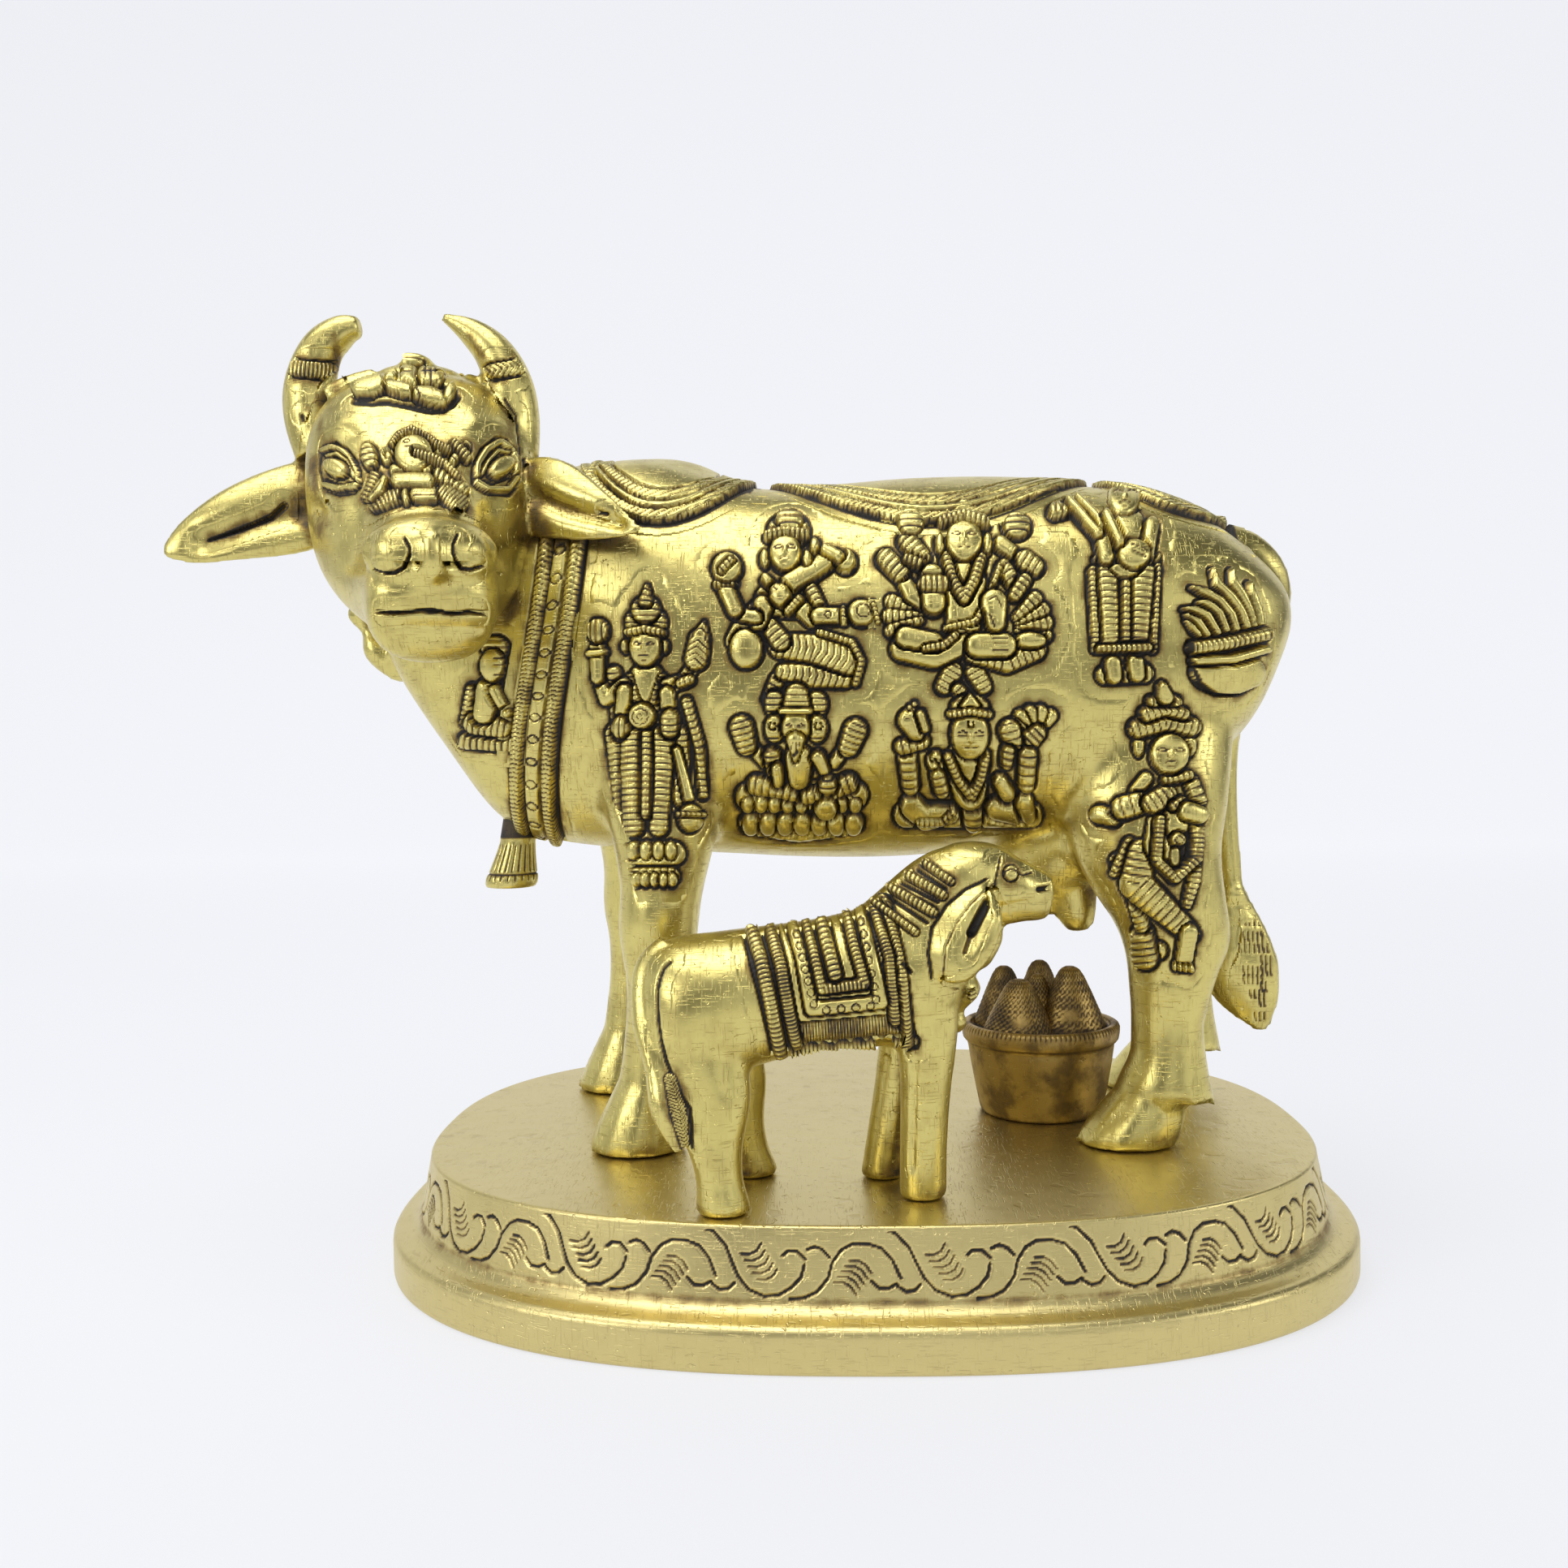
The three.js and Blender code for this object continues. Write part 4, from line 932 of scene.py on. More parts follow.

    # Raises the patina with no height, as painted shade with brown dirt on the cow's head
    def darkSpot(self, points, width, amount):
        half = width * self.square / 2
        some, distance = self.fromLine(points, half * 2.5)
        self.patina[some] = np.maximum(self.patina[some], amount * np.exp(-1.2 * (distance / half) ** 2))

    def sheet(self, corners, top):
        corners = self.place(corners)
        edges = np.roll(corners, -1, 0) - corners
        area = (corners[:, 0] * np.roll(corners[:, 1], -1) - corners[:, 1] * np.roll(corners[:, 0], -1)).sum()
        edges *= np.sign(area) / np.linalg.norm(edges, axis=1, keepdims=True)
        outside = [ex * (self.v - y) * -1 + ey * (self.u - x) for (x, y), (ex, ey) in zip(corners, edges)]
        signed = np.max(outside, axis=0)
        some = np.nonzero(signed < 4)[0]
        self.lay(some, signed[some], np.zeros(len(some)), top / carving["rim"], signed[some], 0, None)

    def ring(self, centre, radius, width=2.4, depth=0.4):
        turn = np.linspace(0, 2 * np.pi, 17)
        x, y = centre
        self.cut(list(zip(x + radius * np.cos(turn), y + radius * np.sin(turn))), width, depth)

    def face(self, centre, wide, tall):
        x, y = centre
        self.disc((x, y), wide, tall, 2.1)
        for side in (-1, 1):
            eyeX, eyeY = x + side * wide * 0.43, y + tall * 0.12
            lid = [(eyeX - side * wide * 0.24, eyeY), (eyeX, eyeY + tall * 0.13),
                   (eyeX + side * wide * 0.26, eyeY)]
            self.cut(lid, 2.2, 0.3)
            self.cut([(eyeX - side * wide * 0.2, eyeY - tall * 0.07),
                      (eyeX + side * wide * 0.22, eyeY - tall * 0.08)], 1.8, 0.25, 0.9)
        self.form([(x, y + tall * 0.12), (x, y - tall * 0.16)], [wide * 0.09, wide * 0.17], top=2.7, groove=0)
        self.cut([(x - wide * 0.3, y - tall * 0.46), (x, y - tall * 0.42), (x + wide * 0.3, y - tall * 0.46)],
                 2.2, 0.35)
        self.cut([(x - wide * 0.16, y - tall * 0.66), (x + wide * 0.16, y - tall * 0.66)], 1.8, 0.2, 0.5)

    def petals(self, centre, inner, outer, fromTurn, toTurn, count, wide, hatch=0, top=None):
        x, y = centre
        for turn in np.radians(np.linspace(fromTurn, toTurn, count)):
            tip = (x + outer * math.cos(turn), y + outer * math.sin(turn))
            root = (x + inner * math.cos(turn), y + inner * math.sin(turn))
            self.form([root, tip], [wide * 0.55, wide], hatch=hatch, top=top, groove=0.4)

    def row(self, fromPoint, toPoint, count, radius, top=None, tall=None):
        for share in np.linspace(0, 1, count):
            x = fromPoint[0] + (toPoint[0] - fromPoint[0]) * share
            y = fromPoint[1] + (toPoint[1] - fromPoint[1]) * share
            self.disc((x, y), radius, tall, top, groove=0.4)


# Figures on the near flank. Each is drawn on squared paper from its own middle, right and up.
def standingLord(r):
    r.form([(-30, -252), (34, -252)], 14, 1.2)
    r.row((-28, -248), (30, -248), 5, 7, top=1.6, tall=12)
    r.ribs([(-31, -280), (30, -280)], 11, 1.3, 1.2)
    r.row((-32, -284), (32, -284), 7, 5.4, top=1.5, tall=9)
    r.ribs([(-34, -105), (-26, -190)], [15, 11], 1.25, 1.3)
    r.ribs([(40, -105), (44, -185)], [12, 10], 1.25, 1.3)
    r.ribs([(-17, -105), (-14, -220)], [13, 11], 1.2)
    r.ribs([(22, -105), (16, -220)], [13, 11], 1.2)
    r.ribs([(2, -100), (1, -205)], [6, 5], 1.3, 1.9)
    r.ribs([(-40, -30), (-32, -105)], [9, 8], 1.3, 1.2)
    r.ribs([(50, -65), (66, -120), (70, -180)], [6, 6, 5], 1.3, 1.2)
    r.form([(1, -38), (1, -80)], [21, 17])
    for side in (-1, 1):
        r.cord([(1 + side * 20, -35), (1 + side * 11, -62), (1, -82)], 4.4, 0.9, 2.2)
    r.form([(-26, -45), (-48, -62), (-58, -35)], [9, 8, 7])
    r.form([(-58, -35), (-59, 0)], [8, 9], 1.9)
    r.disc((-59, 22), 13, 15, hatch=1.1, along="u")
    r.form([(-68, -6), (-50, -4)], 4, 2.3, groove=0.35)
    r.form([(28, -45), (46, -40), (62, -15)], [9, 8, 7])
    r.ribs([(44, -42), (54, -38)], 6, 1.0, 2.2)
    r.ribs([(62, -12), (66, 12), (72, 32)], [14, 12, 2], 1.2, slant=0.7)
    r.form([(-25, -52), (-30, -88)], [9, 8])
    r.disc((-30, -96), 11, 14, 2, hatch=1.1, along="u")
    r.form([(26, -55), (30, -85)], 9)
    r.ribs([(30, -85), (30, -100)], [11, 10], 1.2, 2)
    r.form([(38, -125), (52, -185)], [5, 6], 1.5)
    r.disc((54, -208), 14, 17, 1.9)
    r.form([(40, -204), (68, -204)], 3.4, 2.2, hatch=0.9, groove=0.3)
    r.disc((-4, -82), 16, top=2.2)
    r.ring((-4, -82), 9.5)
    r.ring((-4, -82), 3.5, 1.8)
    for side in (-1, 1):
        r.disc((-1 + side * 24, 3), 5, 8, 1.6)
    r.disc((0, 32), 25, 22, hatch=1.3)
    r.disc((0, 48), 17, 17, hatch=1.2)
    r.ribs([(0, 58), (2, 78)], [8, 1.5], 1.1)
    r.face((0, 2), 19, 24)
    r.cord([(-20, 20), (0, 24), (20, 20)], 5, 0.95, 2.4)


def lutePlayer(r):
    r.ribs([(-10, -155), (-22, -179)], [9, 6], 1.2, 1.3)
    r.ribs([(-2, -145), (32, -149), (72, -153)], [10, 15, 12], 1.35, slant=0.3)
    r.ribs([(-6, -113), (37, -117), (78, -133)], [15, 18, 16], 1.35, slant=0.3)
    r.form([(42, -97), (82, -109), (94, -132), (86, -159)], 4.2, 2, hatch=1.0, groove=0.4)
    r.ribs([(-28, -79), (-6, -107)], [10, 12], 1.3, 1.4)
    r.form([(-18, -57), (17, -62)], [19, 17])
    r.form([(-63, -107), (-50, -85), (-30, -62)], [10, 12, 9], 1.4)
    r.disc((-48, -117), 20, 24, 2.2)
    r.form([(-27, -65), (-34, -85)], [12, 10], 2.2)
    r.form([(-68, -59), (-56, -75), (-36, -79)], 8, 1.6)
    r.form([(-75, -39), (-62, -69)], 10, 1.8)
    r.cord([(-84, -39), (-64, -37)], 4.6, 0.9, 2.3)
    r.disc((-72, -18), 18, 18, 1.8)
    r.cord([(-78, -23), (-66, -11)], 5, 1, 2.4)
    r.ribs([(32, -45), (44, -69)], [8, 7], 1.2)
    r.form([(17, -65), (32, -81)], [11, 9], 1.9)
    r.form([(42, -77), (68, -77)], 10, 1.9)
    r.ring((53, -77), 4, 2)
    r.cord([(72, -69), (72, -85)], 4, 0.8, 2.3)
    r.disc((94, -73), 17, 16, 1.9)
    r.ring((96, -72), 8, 2.2)
    r.cord([(108, -61), (114, -85)], 3.5, 0.9, 1.6)
    r.form([(4, -39), (32, -23), (60, -5)], [11, 11, 10], 2.4)
    r.disc((74, -11), 13, 13, 2.6)
    r.form([(50, 1), (66, -7)], 7, 2.4)
    r.form([(-24, -33), (-10, -47)], [6, 7], 2.5)
    r.disc((-6, -53), 13, 15, 2.7, turn=35)
    for dx in (-10, -3, 4):
        r.cut([(-14 + dx, -39 + dx * 0.5), (-6 + dx, -49 + dx * 0.5)], 2, 0.3)
    r.ribs([(4, -72), (18, -57)], 5, 0.9, 2.4)
    for side in (-1, 1):
        r.disc((1 + side * 26, -7), 6, 11, 1.5)
    r.disc((4, 28), 25, 22, hatch=1.3)
    r.disc((5, 40), 17, 12, 1.9, hatch=1.1)
    r.disc((36, 9), 6, 9, 1.5)
    r.face((0, 0), 19, 23)
    r.cord([(-22, 19), (2, 24), (25, 20)], 4.6, 0.95, 2.4)


def threeFacedSage(r):
    r.form([(-56, -114), (5, -122), (72, -114)], [12, 13, 12], 1.2)
    r.row((-54, -114), (72, -114), 7, 11, top=1.6, tall=12)
    r.form([(-56, -82), (72, -80)], 17, 1.1)
    r.row((-58, -90), (74, -90), 9, 8, top=1.6, tall=9)
    r.ribs([(-48, -66), (-20, -70), (5, -78)], [11, 10, 8], 1.4, 1.9)
    r.ribs([(66, -64), (40, -74), (15, -80)], [11, 10, 8], 1.4, 1.9)
    r.form([(5, -35), (5, -58)], [17, 13])
    r.form([(-36, -40), (-54, -20)], 7, 1.5)
    r.form([(48, -40), (60, -24)], 7, 1.5)
    r.ribs([(-60, -18), (-66, 4)], [12, 14], 1.2, 1.8)
    r.ribs([(66, -20), (74, 0)], [12, 14], 1.2, 1.8)
    r.ribs([(-28, -30), (-26, -50)], [10, 8], 1.1, 2)
    r.form([(-22, -45), (-20, -62)], [7, 6], 2)
    r.form([(28, -32), (36, -48)], [8, 7], 1.8)
    r.disc((40, -66), 11, 11, 2.2, hatch=1.2)
    r.disc((38, -94), 14, 12, 2.2)
    for side in (-1, 1):
        r.disc((1 + side * 26, 32), 12, 17, 1.4, hatch=1.3)
        r.disc((1 + side * 26, 2), 12, 17)
        r.disc((1 + side * 28, 6), 4, 4, 2, groove=0.3)
        r.cut([(1 + side * 20, -8), (1 + side * 32, -8)], 2, 0.3)
    r.ribs([(2, 28), (2, 44)], [17, 14], 1.3, 1.8)
    r.face((1, 4), 17, 22)
    r.form([(1, -12), (1, -34)], [12, 3], 2.3, groove=0.35)
    for dx in (-6, -2, 2, 6):
        r.cut([(1 + dx, -12), (1 + dx * 0.4, -28)], 1.6, 0.25)
    r.form([(-16, 24), (18, 24)], 4, 2.4, groove=0.35)


def manyArmedQueen(r):
    for side in (-1, 1):
        r.ribs([(side * 14, -163), (side * 24, -181)], [12, 10], 1.2, 1.4)
    r.ribs([(-7, -185), (3, -195)], 8, 1.2, 1.4)
    r.petals((-39, -95), 16, 52, 160, 200, 3, 9, hatch=1.3, top=1.5)
    r.petals((53, -107), 16, 48, -14, 44, 4, 9, hatch=1.3, top=1.5)
    r.form([(-77, -47), (-63, -69), (-37, -83)], [8, 11, 12], 1.6)
    r.ribs([(-95, -25), (-79, -41)], 12, 1.3)
    r.ribs([(-69, -3), (-53, -23)], 12, 1.2)
    r.disc((-65, 19), 17, 16, 1.9, hatch=1.3)
    r.ribs([(-69, -27), (-47, -35)], 6, 1, 2.1)
    r.disc((65, 15), 17, 15, 1.9, hatch=1.3)
    r.form([(45, -7), (59, -17)], [9, 8])
    r.ribs([(75, -27), (87, -35)], [12, 11], 1.3, 1.8)
    r.ribs([(49, -35), (63, -57)], 9, 1.4)
    r.ribs([(75, -51), (63, -69)], 8, 1.2, 1.6)
    r.form([(0, -55), (0, -105)], [27, 20])
    r.form([(-75, -135), (-37, -143), (3, -129)], [15, 16, 12], 1.9)
    r.form([(-71, -121), (-37, -127)], [13, 12], 2)
    r.cord([(-47, -135), (-25, -131), (-11, -119)], 5, 0.95, 2.4)
    r.ribs([(13, -141), (53, -149), (87, -135)], [12, 15, 14], 1.4, 1.9)
    r.disc((81, -125), 20, 10, 2.2)
    r.form([(17, -131), (49, -131)], 15, 2.2)
    for dy in (-8, -1, 6):
        r.cut([(35, -131 - dy), (53, -131 - dy)], 2, 0.3)
    r.ribs([(-22, -25), (-15, -51), (0, -75), (13, -51), (21, -25)], 6.4, 0.95, 2.3)
    r.cord([(43, -37), (27, -80), (13, -103), (-21, -110)], 4, 0.9, 2.4)
    r.form([(-39, -47), (-37, -80)], 14, 2.2)
    r.form([(-47, -57), (-27, -57)], 10, 2.5, hatch=1.1, groove=0.4)
    r.form([(37, -79), (39, -103)], [16, 12], 2.1)
    r.cut([(31, -77), (39, -73), (45, -85)], 2.4, 0.35)
    r.cut([(31, -95), (37, -110)], 2.2, 0.35)
    for side in (-1, 1):
        r.disc((side * 29, -7), 6, 13, 1.5)
    r.disc((0, 20), 28, 22, hatch=1.4)
    r.ribs([(0, 29), (0, 46)], [15, 3], 1.2)
    r.face((0, -3), 22, 26)
    r.cord([(-27, 17), (0, 25), (27, 17)], 5.5, 1, 2.5)


def seatedGoddess(r):
    r.form([(-74, -99), (80, -99)], 14, 1.0)
    r.form([(-66, -87), (-50, -101), (-18, -95)], [14, 13, 9], 1.9)
    r.cord([(-58, -103), (-32, -103), (-14, -89)], 4, 1, 2.3)
    r.form([(36, -89), (62, -95)], [12, 11], 1.9)
    r.form([(72, -83), (76, -97)], [11, 9])
    r.ribs([(8, -81), (8, -105)], [12, 11], 1.4, 2)
    r.ribs([(-68, -63), (-72, -25)], [10, 11], 1.6, 1.6)
    r.ribs([(-78, -15), (-54, -9)], 9, 1.4, 1.8)
    r.form([(-68, 17), (-62, 5)], [15, 12], 1.9)
    for place in ((-69, 33), (-63, 37)):
        r.disc(place, 3, 3.4, 0.4, groove=0.35)
    r.cut([(-74, 21), (-58, 23)], 2, 0.3)
    r.form([(-50, 7), (-56, 25)], 5, 1.4)
    r.form([(2, -35), (4, -70)], [27, 20])
    r.disc((-37, -33), 10, 13, 2.1)
    for place in ((-41, -30), (-33, -32)):
        r.disc(place, 2.6, 2.6, 0.5, groove=0.3)
    r.ribs([(-34, -50), (-30, -67)], 9, 1.5, 1.9)
    r.ribs([(-22, -27), (-10, -53), (6, -73), (18, -50), (24, -25)], 5.4, 0.95, 2.3)
    r.petals((86, -3), 10, 32, 55, 150, 5, 8, top=1.6)
    r.ribs([(78, -7), (88, 3)], [12, 10], 1.2, 1.9)
    r.ribs([(54, 5), (58, -9)], [13, 11], 1.5, 1.8)
    r.ribs([(52, -20), (50, -35)], [8, 7], 1.3)
    r.ribs([(76, -25), (74, -60)], [11, 10], 1.8)
    r.form([(42, -57), (50, -70)], [9, 10], 1.8)
    r.disc((5, 33), 23, 16, hatch=1.4)
    r.form([(5, 37), (5, 49)], [12, 2], 1.8)
    r.face((5, 0), 23, 29)
    r.disc((5, 14), 3, 3, 2.9, groove=0.25)
    r.cord([(-18, 25), (5, 29), (28, 25)], 4.6, 1, 2.4)


def manWithRod(r):
    r.ribs([(-23, -217), (25, -215)], 11, 1.8, 1.2)
    r.form([(-15, -203), (-13, -219)], [10, 9], 1.8)
    r.form([(13, -201), (15, -217)], [10, 9], 1.8)
    r.ribs([(-39, -90), (-35, -185)], [6, 5], 1, 1.3)
    r.ribs([(39, -85), (35, -185)], [6, 5], 1, 1.3)
    r.ribs([(-21, -91), (-17, -181)], [12, 10], 1.3)
    r.ribs([(23, -91), (17, -181)], [13, 11], 1.3)
    r.ribs([(1, -89), (1, -185)], 5, 1.2, 1.9)
    r.ribs([(-30, -185), (29, -183)], 5, 1, 1.8)
    r.form([(1, -40), (1, -75)], [26, 23])
    r.ribs([(-33, -75), (39, -73)], 5, 1.2, 1.9)
    r.form([(-31, -40), (-23, -75)], 9, 2)
    r.form([(33, -35), (27, -75)], [9, 8], 1.8)
    r.ribs([(-85, -17), (-73, -15)], [9, 8], 1.2, 1.8)
    r.form([(-69, -7), (-33, -47)], [5, 6], 2.2)
    r.form([(-59, -3), (-27, -35)], [4, 5], 2.1)
    r.disc((11, -71), 20, 17, 2.4)
    r.cut([(7, -63), (25, -69)], 2, 0.3)
    r.cut([(9, -71), (23, -77)], 2, 0.3)
    r.form([(-23, -25), (-7, -57)], 6, 2.3)
    r.disc((-1, 13), 22, 16, 1.6, hatch=1.5)
    r.face((-1, -3), 20, 21)


def flutePlayer(r):
    r.form([(-38, -242), (-12, -242)], 10, 1.2)
    r.ribs([(-32, -220), (-28, -250)], [13, 15], 1.4, 1.6)
    r.ribs([(-64, -130), (-46, -162), (-32, -210)], [8, 10, 8], 1.3, 1.4)
    r.ribs([(-48, -110), (-66, -145)], [8, 6], 1.2, 1.3)
    r.ribs([(32, -110), (30, -155), (22, -185)], [7, 7, 5], 1.1, 1.4)
    r.ribs([(-34, -120), (-40, -158), (-12, -185), (26, -220)], [15, 20, 17, 12], 1.45)
    r.form([(24, -218), (18, -254)], 10, 1.8)
    r.row((8, -260), (26, -262), 4, 3.4, top=1.9, tall=6)
    r.form([(0, -80), (-8, -110)], [24, 22])
    r.ribs([(-12, -80), (-16, -130), (6, -152), (30, -128), (34, -82)], 6, 0.9, 2.4)
    r.disc((9, -105), 9, 9, 2.2)
    r.ring((9, -105), 4.5, 2)
    r.form([(8, -120), (8, -132)], 6, 0.5)
    r.form([(-28, -30), (-40, -45), (-44, -62)], 8)
    r.ribs([(26, -32), (36, -58)], 8, 1.6)
    r.form([(-84, -74), (-68, -78)], [11, 10], 2)
    r.ribs([(-56, -66), (-36, -60)], [14, 13], 1.9, 2.1)
    r.ribs([(-20, -60), (-4, -50)], [13, 12], 1.3, 2.3)
    r.ribs([(4, -64), (14, -58)], 6, 0.9, 2.5)
    r.form([(22, -70), (34, -74)], [12, 11], 2.1)
    r.ribs([(-4, -32), (22, -26)], 6, 1, 2.2)
    for side in (-1, 1):
        r.disc((-6 + side * 31, 12), 7, 15, 1.5)
    r.ribs([(-38, 32), (-6, 42), (26, 34)], [12, 14, 12], 1.3)
    r.ribs([(-28, 50), (-6, 58), (16, 50)], [9, 9, 8], 1.2, 2)
    r.ribs([(-22, 66), (8, 66)], 6, 1, 2)
    r.form([(-6, 72), (-9, 84)], [10, 6], 1.9)
    r.face((0, 0), 23, 25)


def kneelingFigure(r):
    r.ribs([(-30, -100), (26, -104)], 10, 1.2, 1.3)
    r.ribs([(-24, -38), (-32, -78)], [7, 6], 1, 1.3)
    r.ribs([(-18, -78), (14, -84)], [14, 12], 1.2, 1.8)
    r.form([(-2, -38), (-8, -66)], [16, 13])
    r.form([(6, -38), (20, -64)], [7, 6], 2)
    r.disc((22, -66), 6, 6, 2.2)
    r.disc((4, 14), 16, 14, 1.4, hatch=1.3)
    r.disc((2, -8), 15, 20, 1.9)
    r.cut([(6, 0), (18, 2)], 2, 0.35)
    r.cut([(6, -8), (16, -8)], 2, 0.35)
    r.cut([(6, -20), (16, -19)], 2, 0.35)


def flameBowl(r):
    flames = [
        [(-31, 34), (-40, 44), (-50, 55)], [(-24, 36), (-36, 53), (-51, 62)],
        [(-12, 39), (-25, 61), (-40, 68), (-54, 69)], [(-2, 43), (-11, 65), (-24, 75), (-36, 77)],
        [(10, 44), (4, 62), (-10, 79), (-28, 89), (-44, 95)],
        [(23, 47), (17, 65), (4, 83), (-12, 98), (-19, 118)],
        [(33, 48), (27, 67), (16, 87), (7, 100), (4, 117)], [(39, 50), (36, 67), (29, 86), (26, 101)],
    ]
    for line in flames:
        r.form(line, [3.4] + [4.4] * (len(line) - 2) + [1.2], 1.8, groove=0.6)
    r.disc((1, -7), 44, 28, 2.0)
    r.form([(-39, 6), (4, 8), (45, 20)], 5.4, 2.1)
    r.ribs([(-40, 21), (5, 28), (46, 38)], 8, 1.0, 2.3)
    r.cut([(-46, 30), (-45, 6), (-34, -22), (-14, -36), (12, -36), (32, -27)], 6, 0.7)


def tailTuft(r):
    r.cut([(-30, 78), (-6, 78)], 4.4, 0.5)
    rows = [(60, -18, 6), (40, -14, 12), (26, -18, 20), (11, 8, 21), (-2, -14, 21), (-13, -14, 14),
            (-22, 8, 19), (-31, -6, 12), (-41, 6, 16), (-59, 0, 12)]
    for height, low, high in rows:
        for u in np.arange(low, high, 5.6):
            r.cut([(u, height + 6), (u + 1.2, height - 5)], 2.8, 0.3, 0.8)


# Cow's face, on squared paper from the middle of the figure on her nose, right and up
def sculptHead(r):
    r.dent([(-68, -30), (-70, -90)], 46, 1.4)
    r.dent([(98, -28), (116, -90)], 42, 1.2)
    r.dent([(-90, 20), (-84, 10)], 40, 0.8)
    r.dent([(108, 22), (98, 10)], 44, 0.8)
    r.dent([(-84, 76), (-70, 78)], 40, -0.9)
    r.dent([(76, 80), (100, 74)], 40, -0.9)
    r.dent([(-10, 84), (20, 82)], 30, 0.5)
    r.dent([(-30, -172), (84, -175)], 14, 0.6)
    r.dent([(-61, -116), (-62, -150)], 10, 0.4)
    r.dent([(111, -116), (110, -150)], 10, 0.4)
    r.dent([(24, -66), (27, -104)], 34, -1.5)
    r.dent([(-128, -28), (-188, -42), (-258, -68)], 44, 2.2)
    r.dent([(152, -12), (192, -28), (252, -42)], 30, 2.4)
    # painted shade with brown dirt: at the roots of the ears, inside the horns and behind the chin
    r.darkSpot([(-124, 24), (-140, -30), (-118, -52)], 36, 0.62)
    r.darkSpot([(-150, -26), (-206, -46)], 28, 0.55)
    r.darkSpot([(146, 26), (150, -30), (160, -60)], 30, 0.62)
    r.darkSpot([(160, -14), (220, -34)], 18, 0.6)
    r.darkSpot([(-96, 186), (-92, 160), (-94, 120)], 15, 0.5)
    r.darkSpot([(70, 186), (88, 160), (102, 128)], 12, 0.5)
    r.darkSpot([(-118, 100), (-112, 60)], 14, 0.4)
    r.darkSpot([(112, 96), (124, 50)], 14, 0.4)


def drawEyes(r):
    r.form([(-109, 44), (-98, 49), (-84, 44), (-72, 28), (-67, 6)], 3.4, 0.8, groove=0.45)
    r.form([(-104, 38), (-92, 41), (-80, 31), (-72, 13)], 2.4, 0.5, groove=0.4)
    r.form([(-106, 2), (-89, -3), (-68, 1)], 3.4, 0.9, groove=0.4)
    r.cut([(-110, 50), (-94, 55), (-77, 42), (-64, 20), (-63, 2), (-71, -8), (-90, -11), (-106, -6)],
          3.4, 0.5)
    r.cut([(-112, 44), (-114, 22), (-109, 0)], 3, 0.4)
    r.cut([(-106, 9), (-89, 4), (-69, 7)], 4.4, 0.6)
    r.disc((-92, 22), 15, 11, turn=-26)
    r.form([(79, 8), (80, 28), (92, 46), (108, 56), (124, 44), (128, 18)], 3.8, 0.8, groove=0.45)
    r.form([(85, 15), (94, 32), (106, 45), (118, 42)], 2.4, 0.5, groove=0.4)
    r.form([(78, 5), (92, -4), (118, -4), (128, 10)], 3.4, 0.9, groove=0.4)
    r.cut([(75, 4), (75, 26), (85, 47), (103, 61), (117, 58), (129, 40)], 3.6, 0.5)
    r.cut([(79, -2), (96, -10), (120, -11), (128, -2)], 3.4, 0.5)
    r.cut([(83, 9), (100, 4), (121, 12)], 4.6, 0.6)
    r.disc((108, 23), 17, 11.5, 1.8, turn=36)


def drawMuzzle(r):
    r.cut([(-9, -64), (-4, -74), (-4, -86), (-9, -98)], 4.4, 0.7)
    r.cut([(-4, -84), (-10, -99), (-22, -107), (-32, -107)], 6, 0.9)
    r.cut([(-30, -107), (-42, -104), (-54, -98)], 3, 0.5)
    r.cut([(56, -58), (51, -70), (51, -82), (57, -96)], 4.4, 0.7)
    r.cut([(54, -90), (60, -100), (72, -103), (82, -100)], 6, 0.9)
    r.cut([(80, -101), (90, -97), (97, -92)], 4.4, 0.7)
    r.cut([(-44, -154), (-24, -157), (4, -154), (24, -153), (48, -157), (70, -155), (92, -156)], 7, 1.3)
    r.cut([(-44, -154), (0, -155), (48, -157), (92, -156)], 3, 0.4)


def drawNoseFigure(r):
    r.ribs([(-45, -25), (-30, -17), (-15, -13)], [7, 9, 8], 0.8, 1.3)
    r.disc((-7, -15), 5, 9, 1.4)
    r.form([(6, -13), (27, -13)], 8, 1.5)
    for height in (-9, -13, -17):
        r.cut([(2, height), (30, height)], 1.5, 0.25, 0.8)
    r.ribs([(42, -10), (56, -22)], [11, 12], 0.7, 1.5)
    r.ribs([(-45, 11), (-56, -14)], [7, 5], 0.8, 1.1)
    r.form([(-31, 5), (-38, -8), (-45, -19)], [4, 6, 3])
    r.cut([(-34, 0), (-42, -14)], 1.6, 0.25, 0.8)
    r.form([(-20, 17), (22, 16)], 7, 1.4, groove=0.4)
    r.form([(-17, 3), (20, 3)], 8, 1.9)
    r.ribs([(34, 13), (50, 6), (63, -6)], [9, 9, 6], 1.15, 1.5)
    r.disc((-52, 36), 10, 17, 1.5, turn=12, hatch=1.2)
    r.disc((-30, 36), 8, 10, 1.4)
    r.disc((-29, 36), 3.4, 5, 0.9, groove=0.4)
    r.ribs([(50, 30), (66, 48)], [5, 6], 0.9, 1.5)
    r.ribs([(52, 50), (67, 33)], 5, 0.9)
    r.disc((35, 44), 8, 6, 1.5)
    r.ribs([(-23, 50), (-14, 62), (-1, 67), (14, 60), (30, 49), (44, 43)], 4.4, 0.62)
    r.disc((2, 37), 23, 22, 2.2)
    r.form([(6, 34), (27, 28), (42, 19), (54, 5)], [5.2, 4.6, 3.8, 2.6], 2.4, hatch=0.7, groove=0.4)
    r.ring((-6, 48), 3.2, 1.8, 0.3)
    r.cut([(-8, 40), (4, 41)], 1.6, 0.25, 0.8)
    r.cut([(-34, -39), (-13, -30), (16, -28), (45, -31), (69, -40)], 4, 0.6)


